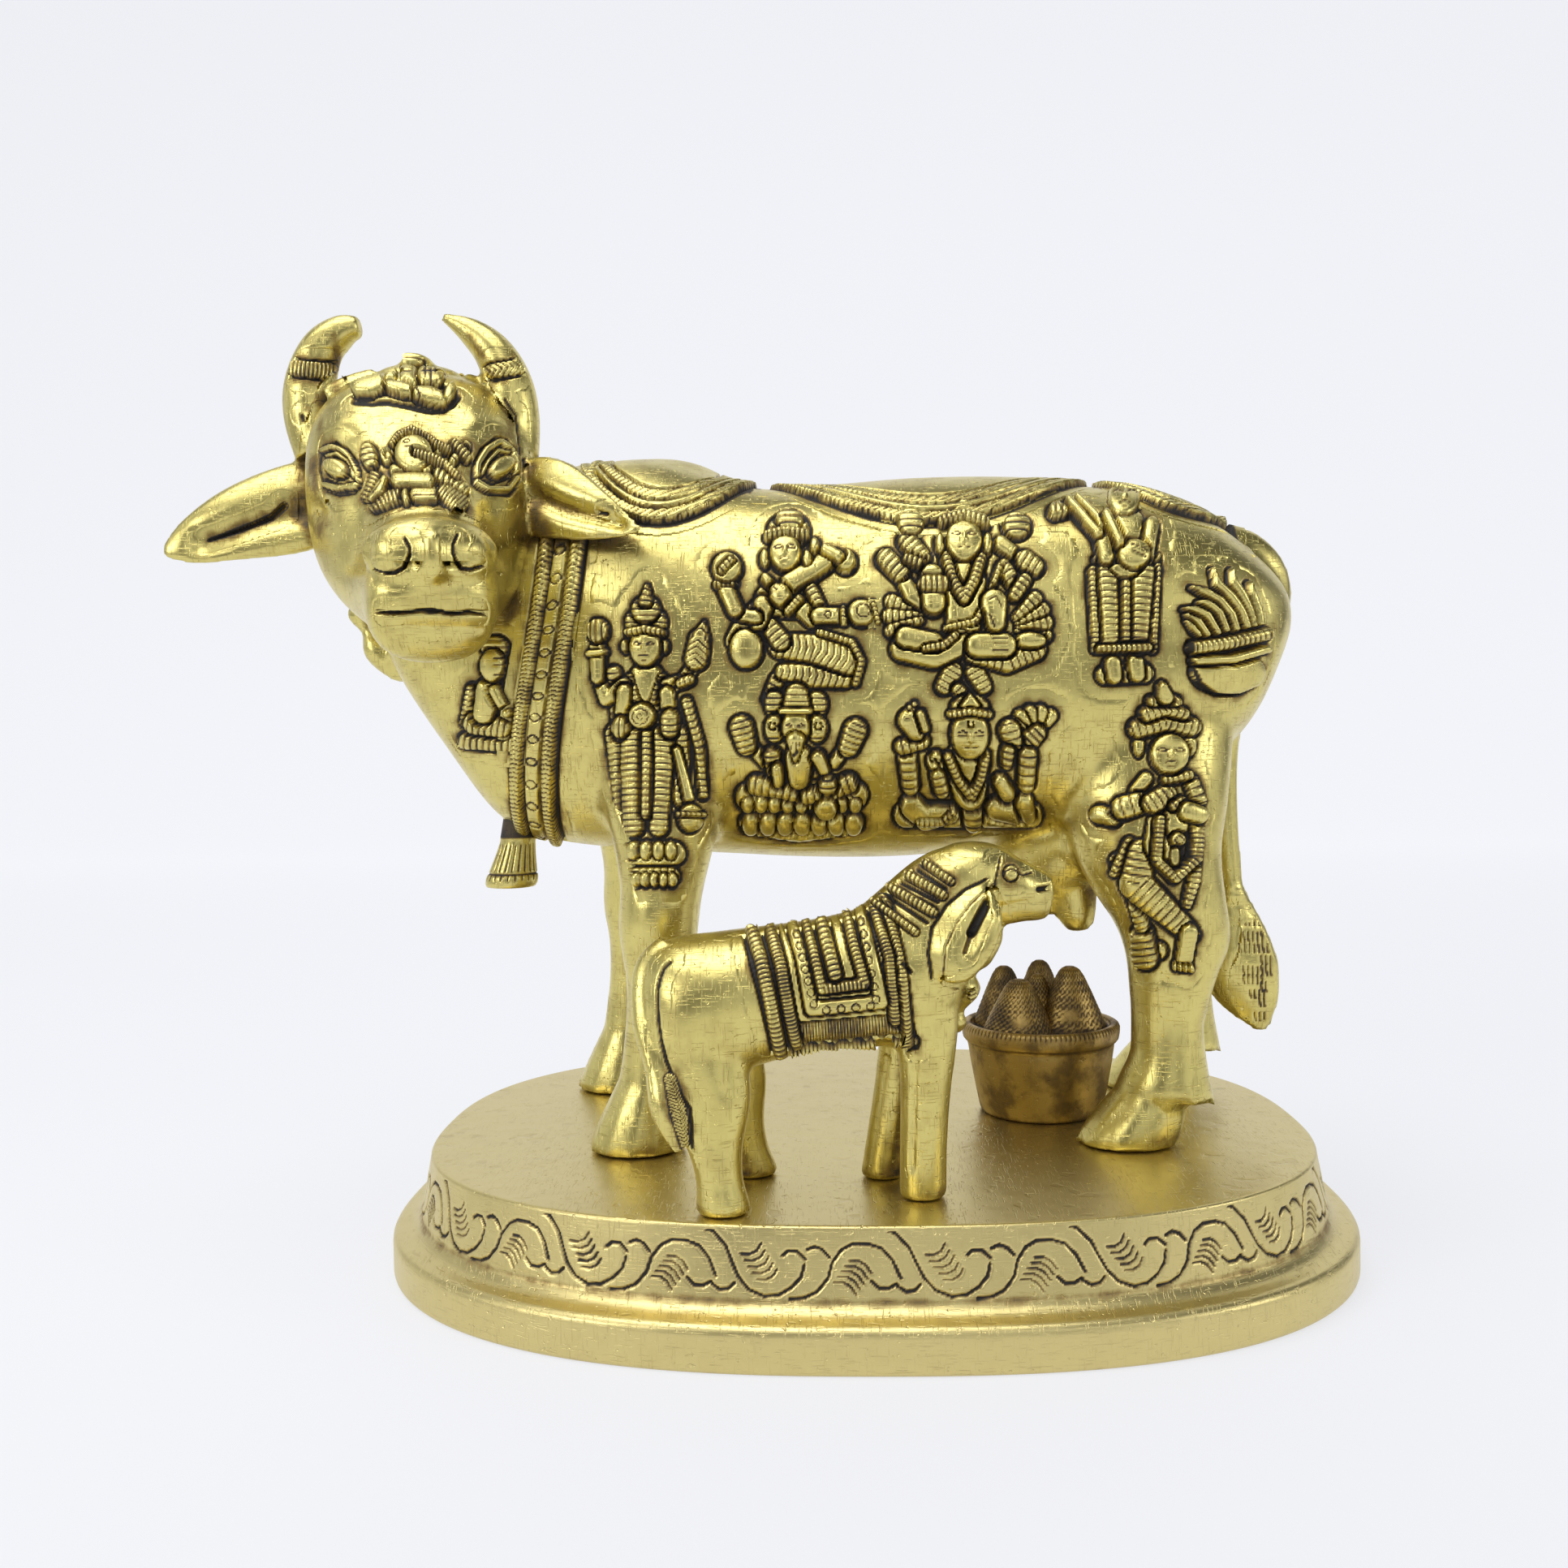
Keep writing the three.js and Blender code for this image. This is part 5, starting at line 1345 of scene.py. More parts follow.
def drawCrown(r):
    r.cut([(-72, 105), (-50, 103), (-30, 104), (-8, 100), (8, 96), (24, 93), (38, 94), (50, 101), (57, 110)],
          8, 0.8)
    r.form([(-64, 121), (-52, 123), (-38, 125)], [11, 13, 10], 2.0, groove=0.6)
    r.cut([(-64, 132), (-54, 134), (-46, 131)], 1.8, 0.3, 0.9)
    r.disc((-26, 134), 8, 10)
    r.form([(-5, 144), (-4, 128)], [10, 11], 1.8)
    r.cut([(-13, 134), (5, 132)], 1.6, 0.3, 0.9)
    r.disc((-3, 153), 20, 8, 2.0)
    r.cut([(-18, 151), (14, 150)], 1.6, 0.3, 0.9)
    r.form([(16, 133), (30, 131)], 10, 1.9)
    for dx in (-6, 0, 6):
        r.cut([(22 + dx, 141), (23 + dx, 122)], 1.6, 0.3)
    r.cut([(9, 134), (37, 132)], 1.6, 0.3)
    r.form([(-27, 119), (-12, 116), (3, 112)], [5, 7, 5], 2.0)
    r.form([(8, 110), (22, 108), (37, 103)], [7, 9, 7], 2.2)
    r.cut([(2, 118), (10, 104)], 2.6, 0.4)
    r.disc((46, 114), 7, 12, 1.6, turn=-20)
    for k in range(6):
        r.disc((-82 - 7 * k, 128 - 6.4 * k), 5.4, 8, 1.4, turn=-40, hatch=0.8, groove=0.4)
    r.form([(56, 133), (70, 135), (86, 129)], [4, 6, 5], 1.2)
    r.cut([(56, 124), (72, 120)], 3, 0.5)


def drawHorns(r):
    r.ribs([(-150, 147), (-92, 141)], 10, 0.75, 0.6)
    r.cut([(-156, 158), (-90, 154)], 3.4, 0.4)
    r.cut([(-156, 136), (-94, 130)], 3.4, 0.4)
    r.ribs([(98, 142), (142, 150)], 9, 1.1, 0.6, slant=1)
    r.cut([(94, 152), (138, 161)], 3.4, 0.4)
    r.cut([(100, 130), (146, 139)], 3.4, 0.4)
    r.cut([(114, 108), (128, 88), (134, 40)], 4, 0.5)
    r.cut([(-136, 88), (-132, 52)], 5, 0.5, 0.8)


def drawEars(r):
    r.cut([(-124, 30), (-116, 4), (-114, -24)], 10, 0.7, 0.9)
    hollow = [(-158, -24), (-173, -38), (-211, -53), (-250, -66)]
    r.form(hollow, [3.6, 3, 2, 0.6], -1.0, groove=0)
    r.cut(hollow, 4.4, 0.3)
    r.cut([(144, 0), (156, -12)], 13, 1.2)
    r.cut([(156, -12), (192, -26), (240, -34)], 5.4, 0.8)
    r.cut([(156, -72), (222, -76), (280, -73)], 4, 0.5)
    r.cut([(138, 34), (142, 10)], 6, 0.6)


# Calf, on squared paper from the middle of its cloth
def sculptCalf(r):
    r.dent([(170, 82), (160, 50), (150, 24)], 24, 1.2)
    r.dent([(188, 140), (189, 80)], 9, 0.6)
    r.dent([(216, 130), (226, 104)], 26, -0.5)
    r.dent([(196, 82), (240, 92)], 10, 0.4)
    r.dent([(88, -100), (84, -240)], 8, 0.5)
    r.dent([(-150, -100), (-140, -140)], 30, 0.4)
    r.dent([(72, -25), (76, -85)], 12, 0.5)


def drawCalfCloth(r):
    r.sheet([(-124, 58), (-84, -104), (88, -90), (54, 94)], 0.7)
    r.form([(-50, -71), (62, -61)], 11, 1.1, hatch=0.62, groove=0.5)
    r.form([(-78, -98), (84, -84)], 7, 1.4, hatch=0.8, groove=0.6)
    r.ribs([(-116, 60), (-103, 20), (-90, -36), (-78, -100)], 8, 0.85, 1.4)
    r.form([(-95, 68), (-78, 9), (-67, -50), (-59, -84)], 7, 1.3, hatch=0.7, groove=0.6)
    r.form([(50, 94), (71, 2), (79, -86)], 6.4, 1.4, hatch=0.8, groove=0.6)
    r.form([(36, 86), (56, 20), (62, -56)], 6, 1.3, hatch=0.7, groove=0.6)
    r.form([(-69, 78), (-51, 20), (-40, -43), (46, -34), (36, 8), (18, 82)], 8, top=1.1,
           groove=0.6)
    for k in range(7):
        r.ring((-57 + 3.3 * k, 44 - 13.3 * k), 4.6, 2.2, 0.35)
        r.ring((22 + 2.8 * k, 60 - 15 * k), 4.6, 2.2, 0.35)
    for k in range(4):
        r.ring((-22 + 18 * k, -43 + 1.6 * k), 4.8, 2.2, 0.35)
    r.ribs([(-52, 80), (-38, 28), (-27, -19), (26, -12), (14, 28), (0, 88)], 6, 0.8, 1.4)
    r.ribs([(-34, 88), (-22, 40), (-11, -1)], 8, 1.0, 1.4)


def drawCalfHead(r):
    r.form([(38, 88), (88, 52)], 4.4, 0.9, hatch=0.9, groove=0.4)
    r.form([(58, 106), (110, 76)], 5.4, 1.1, hatch=0.9, groove=0.4)
    r.form([(80, 121), (122, 97)], 5.4, 1.1, hatch=0.9, groove=0.4)
    r.form([(100, 136), (132, 114)], 4.4, 0.9, hatch=0.9, groove=0.4)
    for bar in ([(49, 99), (103, 63)], [(69, 113), (116, 89)], [(91, 128), (126, 105)]):
        r.cut(bar, 6, 0.8)
    r.cut([(108, -6), (103, 26), (108, 57), (126, 85), (150, 105), (176, 117)], 5, 0.6)
    r.cut([(122, -2), (126, 34), (138, 61), (158, 87), (184, 111)], 2.6, 0.3, 0.7)
    r.cut([(176, 88), (168, 72), (157, 50)], 13, 1.2)
    r.cut([(157, 50), (149, 26)], 6, 0.5, 0.7)
    r.cut([(193, 144), (187, 113), (188, 61)], 3.4, 0.4, 0.9)
    r.disc((206, 124), 8, 9, 0.7, groove=0.5)
    r.cut([(199, 126), (206, 128), (213, 125)], 2.4, 0.3)
    r.cut([(214, 124), (222, 122), (231, 125)], 3.4, 0.5)
    r.cut([(241, 104), (255, 107)], 9, 1.0)
    r.ribs([(153, -16), (158, -32), (162, -54)], [7, 8, 7], 0.75, 0.8)
    r.cut([(72, 12), (82, 2)], 8, 0.6)
    r.ribs([(22, -100), (4, -122)], 7, 0.8, 0.8)


def drawCalfTail(r):
    r.cut([(-214, 15), (-222, 7), (-227, -5), (-230, -20), (-230, -40), (-229, -60), (-226, -82),
           (-219, -108), (-209, -133), (-199, -152), (-190, -166), (-188, -190), (-187, -222)], 5, 0.6)
    r.form([(-214, -130), (-204, -170), (-196, -212)], [7, 10, 5], 0.4, hatch=0.7, slant=0.8, groove=0)


# Carved patches lie on the skin: a fine grid thrown onto it along rays, then raised by a drawing
drawingPlane = 288  # distance from the eye at which a drawing is measured
patchStyle = {
    "reach": 3.4,  # how far a patch goes past its drawing
    "lift": 0.025,
    "dip": 0.025,
    "fade": 2.0,
    "skirt": 1.4,  # how far its border turns in
    "core": 0.8,  # the skin is pressed in under what lies nearer than this to the drawing
    "press": 1.5,
    "pressReach": 1.9,
    "pressFade": 1.0,
    "outline": 0.95,  # width of the black around the forms
    "facing": 0.16,  # a patch ends where the skin turns further away than this
    "evenSkin": 0.35,  # and where the skin steps further than this
    "blur": 3,
    "hollow": (2.2, 1.1, 0.8),  # reach, strength and most of the dirt in hollows
}


def spread(image, sigma):
    reach = max(1, int(round(sigma * 3)))
    weights = np.exp(-0.5 * (np.arange(-reach, reach + 1) / sigma) ** 2)
    weights /= weights.sum()
    for axis in (0, 1):
        padded = np.pad(image, [(reach, reach) if a == axis else (0, 0) for a in (0, 1)], mode="edge")
        size = image.shape[axis]
        image = sum(w * np.take(padded, np.arange(k, k + size), axis) for k, w in enumerate(weights))
    return image


def skinTree(piece):
    return BVHTree.FromPolygons(readPoints(piece).tolist(), faceCorners(piece).tolist())


def eyeRays(u, v, far=False):
    right, up, forward = (np.array(axis) for axis in viewAxes())
    direction = forward * drawingPlane + u[..., None] * right + v[..., None] * up
    origin = np.array(view["eye"], float)
    if far:
        direction = direction * (1, -1, 1)
        origin = np.array((origin[0], 2 * cowMiddle - origin[1], origin[2]))
    return np.broadcast_to(origin, direction.shape), direction


def axisRays(x, arc, axisHeight, radius, sway=0.0):
    turn = arc / radius
    direction = np.stack([0 * x, -np.sin(turn), -np.cos(turn)], -1)
    middle = np.stack([x + sway * np.cos(turn), 0 * x + cowMiddle, 0 * x + plinthTop + axisHeight], -1)
    return middle - direction * 90, direction


# Black lies close around the forms, and brown further out
def settleDirt(relief, outline):
    black = np.clip((outline - relief.edge) / 0.35, 0, 1)
    brown = carving["brown"] * np.clip(1 - relief.edge / carving["halo"], 0, 1) ** 1.5
    dirt = np.maximum(black, brown) * (relief.edge > 0.01)
    return np.maximum(relief.patina, dirt).reshape(relief.shape)


def layPatch(name, tree, relief, origin, direction, inward, outline=patchStyle["outline"]):
    shape, blur = relief.shape, patchStyle["blur"]
    near = relief.near.reshape(shape)
    wanted = near < patchStyle["reach"] + 3
    length = np.linalg.norm(direction, axis=-1)
    depth = np.full(shape, np.nan)
    for k in np.argwhere(wanted):
        k = tuple(k)
        hit = tree.ray_cast(origin[k], direction[k])
        if hit[0] is not None:
            depth[k] = hit[3] / length[k]
    struck = ~np.isnan(depth)
    weight = spread(struck.astype(float), blur)
    smooth = spread(np.where(struck, depth, 0), blur) / np.maximum(weight, 1e-6)
    base = origin + direction * smooth[..., None]
    normal = np.cross(np.gradient(base, axis=1), np.gradient(base, axis=0))
    normal /= np.maximum(np.linalg.norm(normal, axis=-1, keepdims=True), 1e-9)
    normal *= np.where((normal * direction).sum(-1, keepdims=True) > 0, -1, 1)
    height = relief.height.reshape(shape)
    patina = settleDirt(relief, outline)
    reach, strength, most = patchStyle["hollow"]
    patina = np.maximum(patina, np.clip((spread(height, reach) - height) * strength, 0, most))
    fade = np.clip((near - patchStyle["reach"]) / patchStyle["fade"] + 1, 0, 1)
    points = base + normal * (height + patchStyle["lift"] - patchStyle["dip"] * fade)[..., None]
    facing = -(normal * direction).sum(-1) / length
    even = np.abs(np.where(struck, depth, 0) - smooth) * length < patchStyle["evenSkin"]
    keep = struck & even & (near < patchStyle["reach"]) & (facing > patchStyle["facing"])
    piece, row, column = gridSheet(name, points, keep)
    writePatina(piece, patina[row, column])
    editWhole(piece, bpy.ops.mesh.region_to_loop, bpy.ops.mesh.mark_sharp, bpy.ops.mesh.extrude_region_move)
    place = readPoints(piece)
    place[len(row):] += inward(place[len(row):]) * patchStyle["skirt"]
    writePoints(piece, place)
    editWhole(piece, bpy.ops.mesh.normals_make_consistent)
    if (readNormals(piece) * inward(readPoints(piece))).sum() > 0:
        editWhole(piece, bpy.ops.mesh.flip_normals)
    border = piece.vertex_groups.new(name="border")
    share = fade[row, column]
    for k in np.nonzero(share)[0].tolist():
        border.add([k], share[k], "REPLACE")
    under = (spread(keep.astype(float), 3) > 0.97) & (near < patchStyle["core"])
    return piece, coreTree(points, under)


# Near its border a patch takes the normals of the skin, so that no seam shows
def matchBorder(patch, skin):
    for piece in (skin, patch):
        pick([piece])
        bpy.ops.object.shade_smooth()
    bpy.ops.object.modifier_add(type="DATA_TRANSFER")
    transfer = patch.modifiers[-1]
    transfer.object = skin
    transfer.use_loop_data = True
    transfer.data_types_loops = {"CUSTOM_NORMAL"}
    transfer.loop_mapping = "POLYINTERP_NEAREST"
    transfer.vertex_group = "border"
    bpy.ops.object.modifier_apply(modifier=transfer.name)
    patch.vertex_groups.clear()


def coreTree(points, under):
    whole = under[:-1, :-1] & under[1:, :-1] & under[:-1, 1:] & under[1:, 1:]
    width = under.shape[1]
    first = (np.argwhere(whole) * (width, 1)).sum(1)
    faces = np.stack([first, first + 1, first + width + 1, first + width], -1)
    return BVHTree.FromPolygons(points.reshape(-1, 3).tolist(), faces.tolist())


def pressSkin(skin, cores):
    points = readPoints(skin)
    press = np.zeros(len(points))
    reach, fade = patchStyle["pressReach"], patchStyle["pressFade"]
    for core in cores:
        for k, point in enumerate(points):
            distance = core.find_nearest(point, reach)[3]
            if distance is not None:
                press[k] = max(press[k], min(1, (reach - distance) / fade))
    writePoints(skin, points - readNormals(skin) * (press * patchStyle["press"])[:, None])


print("carving tools ready")


# Where each figure's drawing has its middle, on the plane before the flank
flankFigures = [
    (standingLord, -27.2, 26.6), (lutePlayer, 0.3, 45.3), (threeFacedSage, 2.2, 10.6),
    (manyArmedQueen, 35.4, 48.2), (seatedGoddess, 35.8, 9.8), (manWithRod, 67.0, 56.2),
    (flutePlayer, 75.8, 5.8), (flameBowl, 87.0, 23.4), (tailTuft, 92.8, -36.6), (kneelingFigure, -57.6, 24.6),
]
# The far side's are out of the photograph: the same kind of figures, with fewer small forms
farFigures = [
    (seatedGoddess, -14.0, 22.0, -1), (threeFacedSage, 22.0, 24.0, -1), (seatedGoddess, 54.0, 22.0, 1),
]
drawingSquare = 0.16
farSquare = drawingSquare * 1.15
flankWindows = {"frontFlank": ((-47, -48), (19.5, 66)), "hindFlank": ((15.0, -48), (98, 66)),
                "neckSide": ((-68, 2), (-48, 34))}
farWindow = ((-36, -8), (76, 50))
patchStep = {"flank": 0.32, "farFlank": 0.5, "head": 0.27, "muzzle": 0.25, "calf": 0.27,
             "neckBand": 0.38}


def drawingGrid(low, high, step):
    u = np.arange(low[0], high[0], step)
    v = np.arange(low[1], high[1], step)
    return Relief(*np.meshgrid(u, v))


def towardsFar(points):
    return np.broadcast_to((0.0, 1.0, 0.0), points.shape)


def towardsNear(points):
    return np.broadcast_to((0.0, -1.0, 0.0), points.shape)


def carveFlank(tree):
    patches = []
    for name, (low, high) in flankWindows.items():
        relief = drawingGrid(low, high, patchStep["flank"])
        for draw, u, v in flankFigures:
            if low[0] < u < high[0]:
                relief.start(u, v, drawingSquare)
                draw(relief)
        patches.append(layPatch(name, tree, relief, *eyeRays(*plane(relief)), towardsFar))
    relief = drawingGrid(*farWindow, patchStep["farFlank"])
    for draw, u, v, mirror in farFigures:
        relief.start(u, v, farSquare, mirror)
        draw(relief)
    patches.append(layPatch("farFlank", tree, relief, *eyeRays(*plane(relief), far=True), towardsNear))
    return patches


def plane(relief):
    return relief.u.reshape(relief.shape), relief.v.reshape(relief.shape)


# Cloths over the back, and the neck band. They are drawn along the body and around it
cloths = {
    "hump": {"from": -60, "to": -22, "halfWidth": 29, "blunt": 0.5, "axis": 92, "radius": 48},
    "back": {"from": -19, "to": 50, "halfWidth": 29.5, "blunt": 0.7, "axis": 92, "radius": 46},
    "rump": {"from": 51, "to": 79.5, "halfWidth": 19, "blunt": 0.6, "axis": 92, "radius": 42},
    "thickness": 1.3,
    "step": 0.38,
    # hatched border, plain rib, hatched band and plain middle: inset, rise, hatching
    "bands": [(0, 0.25, 1.5), (3.0, 0.3, 0), (5.0, 0.2, 1.6), (8.4, 0.0, 0)],
    "outline": 1.7,
}
neckBand = {"x": -64.5, "lean": 9, "width": 9.5, "axis": 98, "radius": 38, "reach": (-112, 112),
            "dotGap": 6.2, "farAhead": 7}


def clothLayer(relief, cloth, inset, top, hatch):
    length = cloth["to"] - cloth["from"]
    share = np.clip((relief.u - cloth["from"]) / length, 0, 1)
    evenly = np.linspace(0, 1, 201)
    edge, line = (cloth["halfWidth"] * np.sin(np.pi * s) ** cloth["blunt"] for s in (share, evenly))
    tilt = np.interp(share, evenly, np.clip(np.abs(np.gradient(line, length / 200)), 0, 6))
    signed = (np.abs(relief.v) - edge) / np.sqrt(1 + tilt**2) + inset
    signed = np.maximum(signed, np.abs(relief.u - cloth["from"] - length / 2) - length / 2 + inset)
    some = np.nonzero(signed < 3.5)[0]
    along = relief.u[some] * 0.8 + np.abs(relief.v[some])
    relief.lay(some, signed[some], np.zeros(len(some)), top / carving["rim"], along, hatch, 0.75)


def drawCloth(relief, cloth):
    thick = cloths["thickness"]
    for inset, rise, hatch in cloths["bands"]:
        clothLayer(relief, cloth, inset, thick + rise, hatch)
    relief.start(0, 0, 1)
    middle = (cloth["from"] + cloth["to"]) / 2
    for k in range(-3, 4):
        relief.cut([(middle + k * 5 - 2, 0), (middle + k * 5, 2.4), (middle + k * 5 + 2, 0),
                    (middle + k * 5, -2.4), (middle + k * 5 - 2, 0)], 0.5, 0.35, 0.8)


def towardsAxis(axis):
    def inward(points):
        gap = points * (0, -1, -1) + (0, cowMiddle, plinthTop + axis)
        return gap / np.maximum(np.linalg.norm(gap, axis=1, keepdims=True), 1e-6)
    return inward


def carveCloths(tree):
    patches = []
    for name in ("hump", "back", "rump"):
        cloth = cloths[name]
        half = cloth["halfWidth"] * 1.25 + 6
        relief = drawingGrid((cloth["from"] - 4, -half), (cloth["to"] + 4, half), cloths["step"])
        drawCloth(relief, cloth)
        u, v = plane(relief)
        rays = axisRays(u, v, cloth["axis"], cloth["radius"])
        patches.append(layPatch(name + "Cloth", tree, relief, *rays, towardsAxis(cloth["axis"]),
                                outline=cloths["outline"]))
    return patches


def carveNeckBand(tree):
    band = neckBand
    half = band["width"] / 2
    low, high = band["reach"]
    relief = drawingGrid((-half - 4, low), (half + 4, high), patchStep["neckBand"])
    relief.start(0, 0, 1)
    relief.form([(0, low - 9), (0, high + 9)], half, top=1.2)
    for x in (1.3 - half, half - 1.3):
        relief.form([(x, low - 9), (x, high + 9)], 1.3, top=1.9, hatch=1.25, slant=0.5)
    for v in np.arange(low + 2, high, band["dotGap"]):
        relief.ring((0, v), 1.1, 0.5, 0.4)
    u, v = plane(relief)
    lean = math.tan(math.radians(band["lean"]))
    ahead = band["farAhead"] * np.clip(np.sin(v / band["radius"]), 0, 1) ** 1.5
    rays = axisRays(u + band["x"] - ahead, v, band["axis"], band["radius"], sway=lean * 34)
    return [layPatch("neckBand", tree, relief, *rays, towardsAxis(band["axis"]))]


# Head and calf: broad hollows are pushed into the skin itself, fine ones lie on a patch
headDrawings = (drawCrown, drawNoseFigure, drawEyes, drawMuzzle, drawHorns, drawEars)
headPaper = (-73.3, 58.6)
headGroove = 0.5
calfDrawings = (drawCalfCloth, drawCalfHead, drawCalfTail)
calfPaper = (11.8, -37.4)


def onDrawingPlane(points):
    right, up, forward = (np.array(axis) for axis in viewAxes())
    gap = points - np.array(view["eye"])
    scale = drawingPlane / (gap @ forward)
    return gap @ right * scale, gap @ up * scale


def sculpt(piece, draw, paper):
    points, normals = readPoints(piece), readNormals(piece)
    relief = Relief(*onDrawingPlane(points))
    relief.start(*paper, drawingSquare)
    draw(relief)
    gap = np.array(view["eye"]) - points
    facing = np.clip((normals * gap).sum(1) / np.linalg.norm(gap, axis=1) * 2.5, 0, 1)
    writePoints(piece, points + normals * (relief.height * facing)[:, None])
    writePatina(piece, relief.patina * facing)


def carveFacing(name, piece, drawings, paper, low, high, step, groove=carving["groove"]):
    relief = drawingGrid(low, high, step)
    relief.groove = groove
    for draw in drawings:
        relief.start(*paper, drawingSquare)
        draw(relief)
    tree = skinTree(piece)
    patch, core = layPatch(name, tree, relief, *eyeRays(*plane(relief)), towardsFar, outline=0.6)
    matchBorder(patch, piece)
    pressSkin(piece, [core])
    return patch


cowSkin = skinTree(cowBody)
cowPatches = carveFlank(cowSkin) + carveCloths(cowSkin) + carveNeckBand(cowSkin)
for patch, _ in cowPatches:
    matchBorder(patch, cowBody)
pressSkin(cowBody, [core for _, core in cowPatches])
print("flanks, cloths and band carved", [len(piece.data.polygons) for piece, _ in cowPatches])
sculpt(cowHead, sculptHead, headPaper)
headCarving = [
    carveFacing("headCarving", cowHead, headDrawings, headPaper, (-125, 44), (-24, 86), patchStep["head"],
                headGroove),
    carveFacing("muzzleCarving", cowHead, [drawMuzzle], headPaper, (-86, 30), (-54, 53), patchStep["muzzle"]),
]
print("head carved", [len(piece.data.polygons) for piece in headCarving])
sculpt(calfPiece, sculptCalf, calfPaper)
calfCarving = carveFacing("calfCarving", calfPiece, calfDrawings, calfPaper, (-27, -78), (56, -12),
                          patchStep["calf"])
print("calf carved", len(calfCarving.data.polygons))


# Plinth: an oval lower band, and a frieze with an engraved running scroll
plinth = {
    "length": 200, "width": 156, "height": 23,
    "squareness": 2.5,
    "lowerBand": 8.6,
    "ledge": 5.6,
    "friezeLean": 2.1,
    "edgeRound": 0.7,
    "bays": 17,
    "baySquares": 61,  # width of a bay on the scroll's squared paper
    "frontColumns": 860,
    "backColumns": 180,
    "friezeRows": 40,
}
friezeFoot = plinth["lowerBand"] + 2
friezeHead = plinth["height"] - plinth["edgeRound"]


def ovalRing(angle, inset, height):
    power = 2 / plinth["squareness"]
    x = (plinth["length"] / 2 - inset) * signedPower(np.cos(angle), power)
    y = (plinth["width"] / 2 - inset) * signedPower(np.sin(angle), power)
    return np.stack(np.broadcast_arrays(x, y, height), -1)


# Angles that lie at even steps along the oval
def evenAngles(low, high, count):
    fine = np.linspace(low, high, 4001)
    edge = ovalRing(fine, plinth["ledge"] + 1, 0.0)[:, :2]
    along = np.concatenate([[0], np.cumsum(np.linalg.norm(np.diff(edge, axis=0), axis=1))])
    return np.interp(np.linspace(0, along[-1], count, endpoint=False), along, fine)


def friezeProfile():
    ledge, lean, band, top = plinth["ledge"], plinth["friezeLean"], plinth["lowerBand"], plinth["height"]
    corner = np.linspace(0, np.pi / 2, 6)
    foot = [(0.9, 0.0), (0.5, 0.12), (0.15, 0.5), (0, 1), (0, 3), (0, 5), (0, band - 2.2)]
    shoulder = [(1.8 - 1.8 * math.cos(a), band - 2 + 1.8 * math.sin(a)) for a in corner[1:]]
    cove = [(3.0, band + 0.02), (3.9, band + 0.3), (4.7, band + 0.9), (5.3, band + 1.5)]
    share = np.linspace(0, 1, plinth["friezeRows"])
    frieze = [(ledge + lean * s, friezeFoot + (friezeHead - friezeFoot) * s) for s in share]
    bend = plinth["edgeRound"]
    edge = [(ledge + lean + bend * (1 - math.cos(a)), friezeHead + bend * math.sin(a)) for a in corner[1:]]
    flat = [(ledge + lean + reach, top) for reach in (1.6, 3, 6, 12, 22, 34, 46, 56, 64)]
    return np.array(foot + shoulder + cove + frieze + edge + flat), len(foot + shoulder + cove)


def drawScrollBay(r):
    r.cut([(-12, 11.8), (-8, 10.4), (-3.6, 5.8), (-1.4, 1), (1, -3.8), (4.6, -7.8), (9.6, -9.8),
           (14.4, -9.4), (18.8, -6.8), (21.8, -3.4), (22.8, 0.4)], 1.4, 0.5)
    r.cut([(18, -10.4), (22.6, -10.2), (27, -8.2), (30.6, -3.8), (32, 1.2), (35, 5.2), (39, 7.2),
           (43.4, 7.2), (48.4, 5.6), (51.8, 1.8), (54.4, -3.8)], 1.4, 0.5)
    r.cut([(15.4, 3.2), (17.4, 4.8), (20.4, 4.6), (23, 2.2)], 1.5, 0.5)
    r.cut([(23.6, 5.2), (26.2, 6.2), (28.8, 5.2), (31, 2.8)], 1.5, 0.5)
    r.cut([(44.8, -4.8), (47, -6.8), (50, -7.2), (53, -5.6)], 1.4, 0.5)
    r.cut([(53, -6.2), (55.8, -8), (58.8, -7.8), (60.8, -5.8)], 1.4, 0.5)
    for k in range(5):
        x, y = 1.5 + 1.4 * k, 3.6 - 2 * k
        r.cut([(x, y), (x + 2.9, y - 0.1), (x + 5.4, y + 1.1), (x + 6.7, y + 3.4)], 1.1, 0.35, 0.85)
    for k in range(5):
        x, y = 32.6 + 1.25 * k, -5 + 1.7 * k
        r.cut([(x, y), (x + 3, y), (x + 5.4, y - 1.4), (x + 7.2, y - 4)], 1.1, 0.35, 0.85)


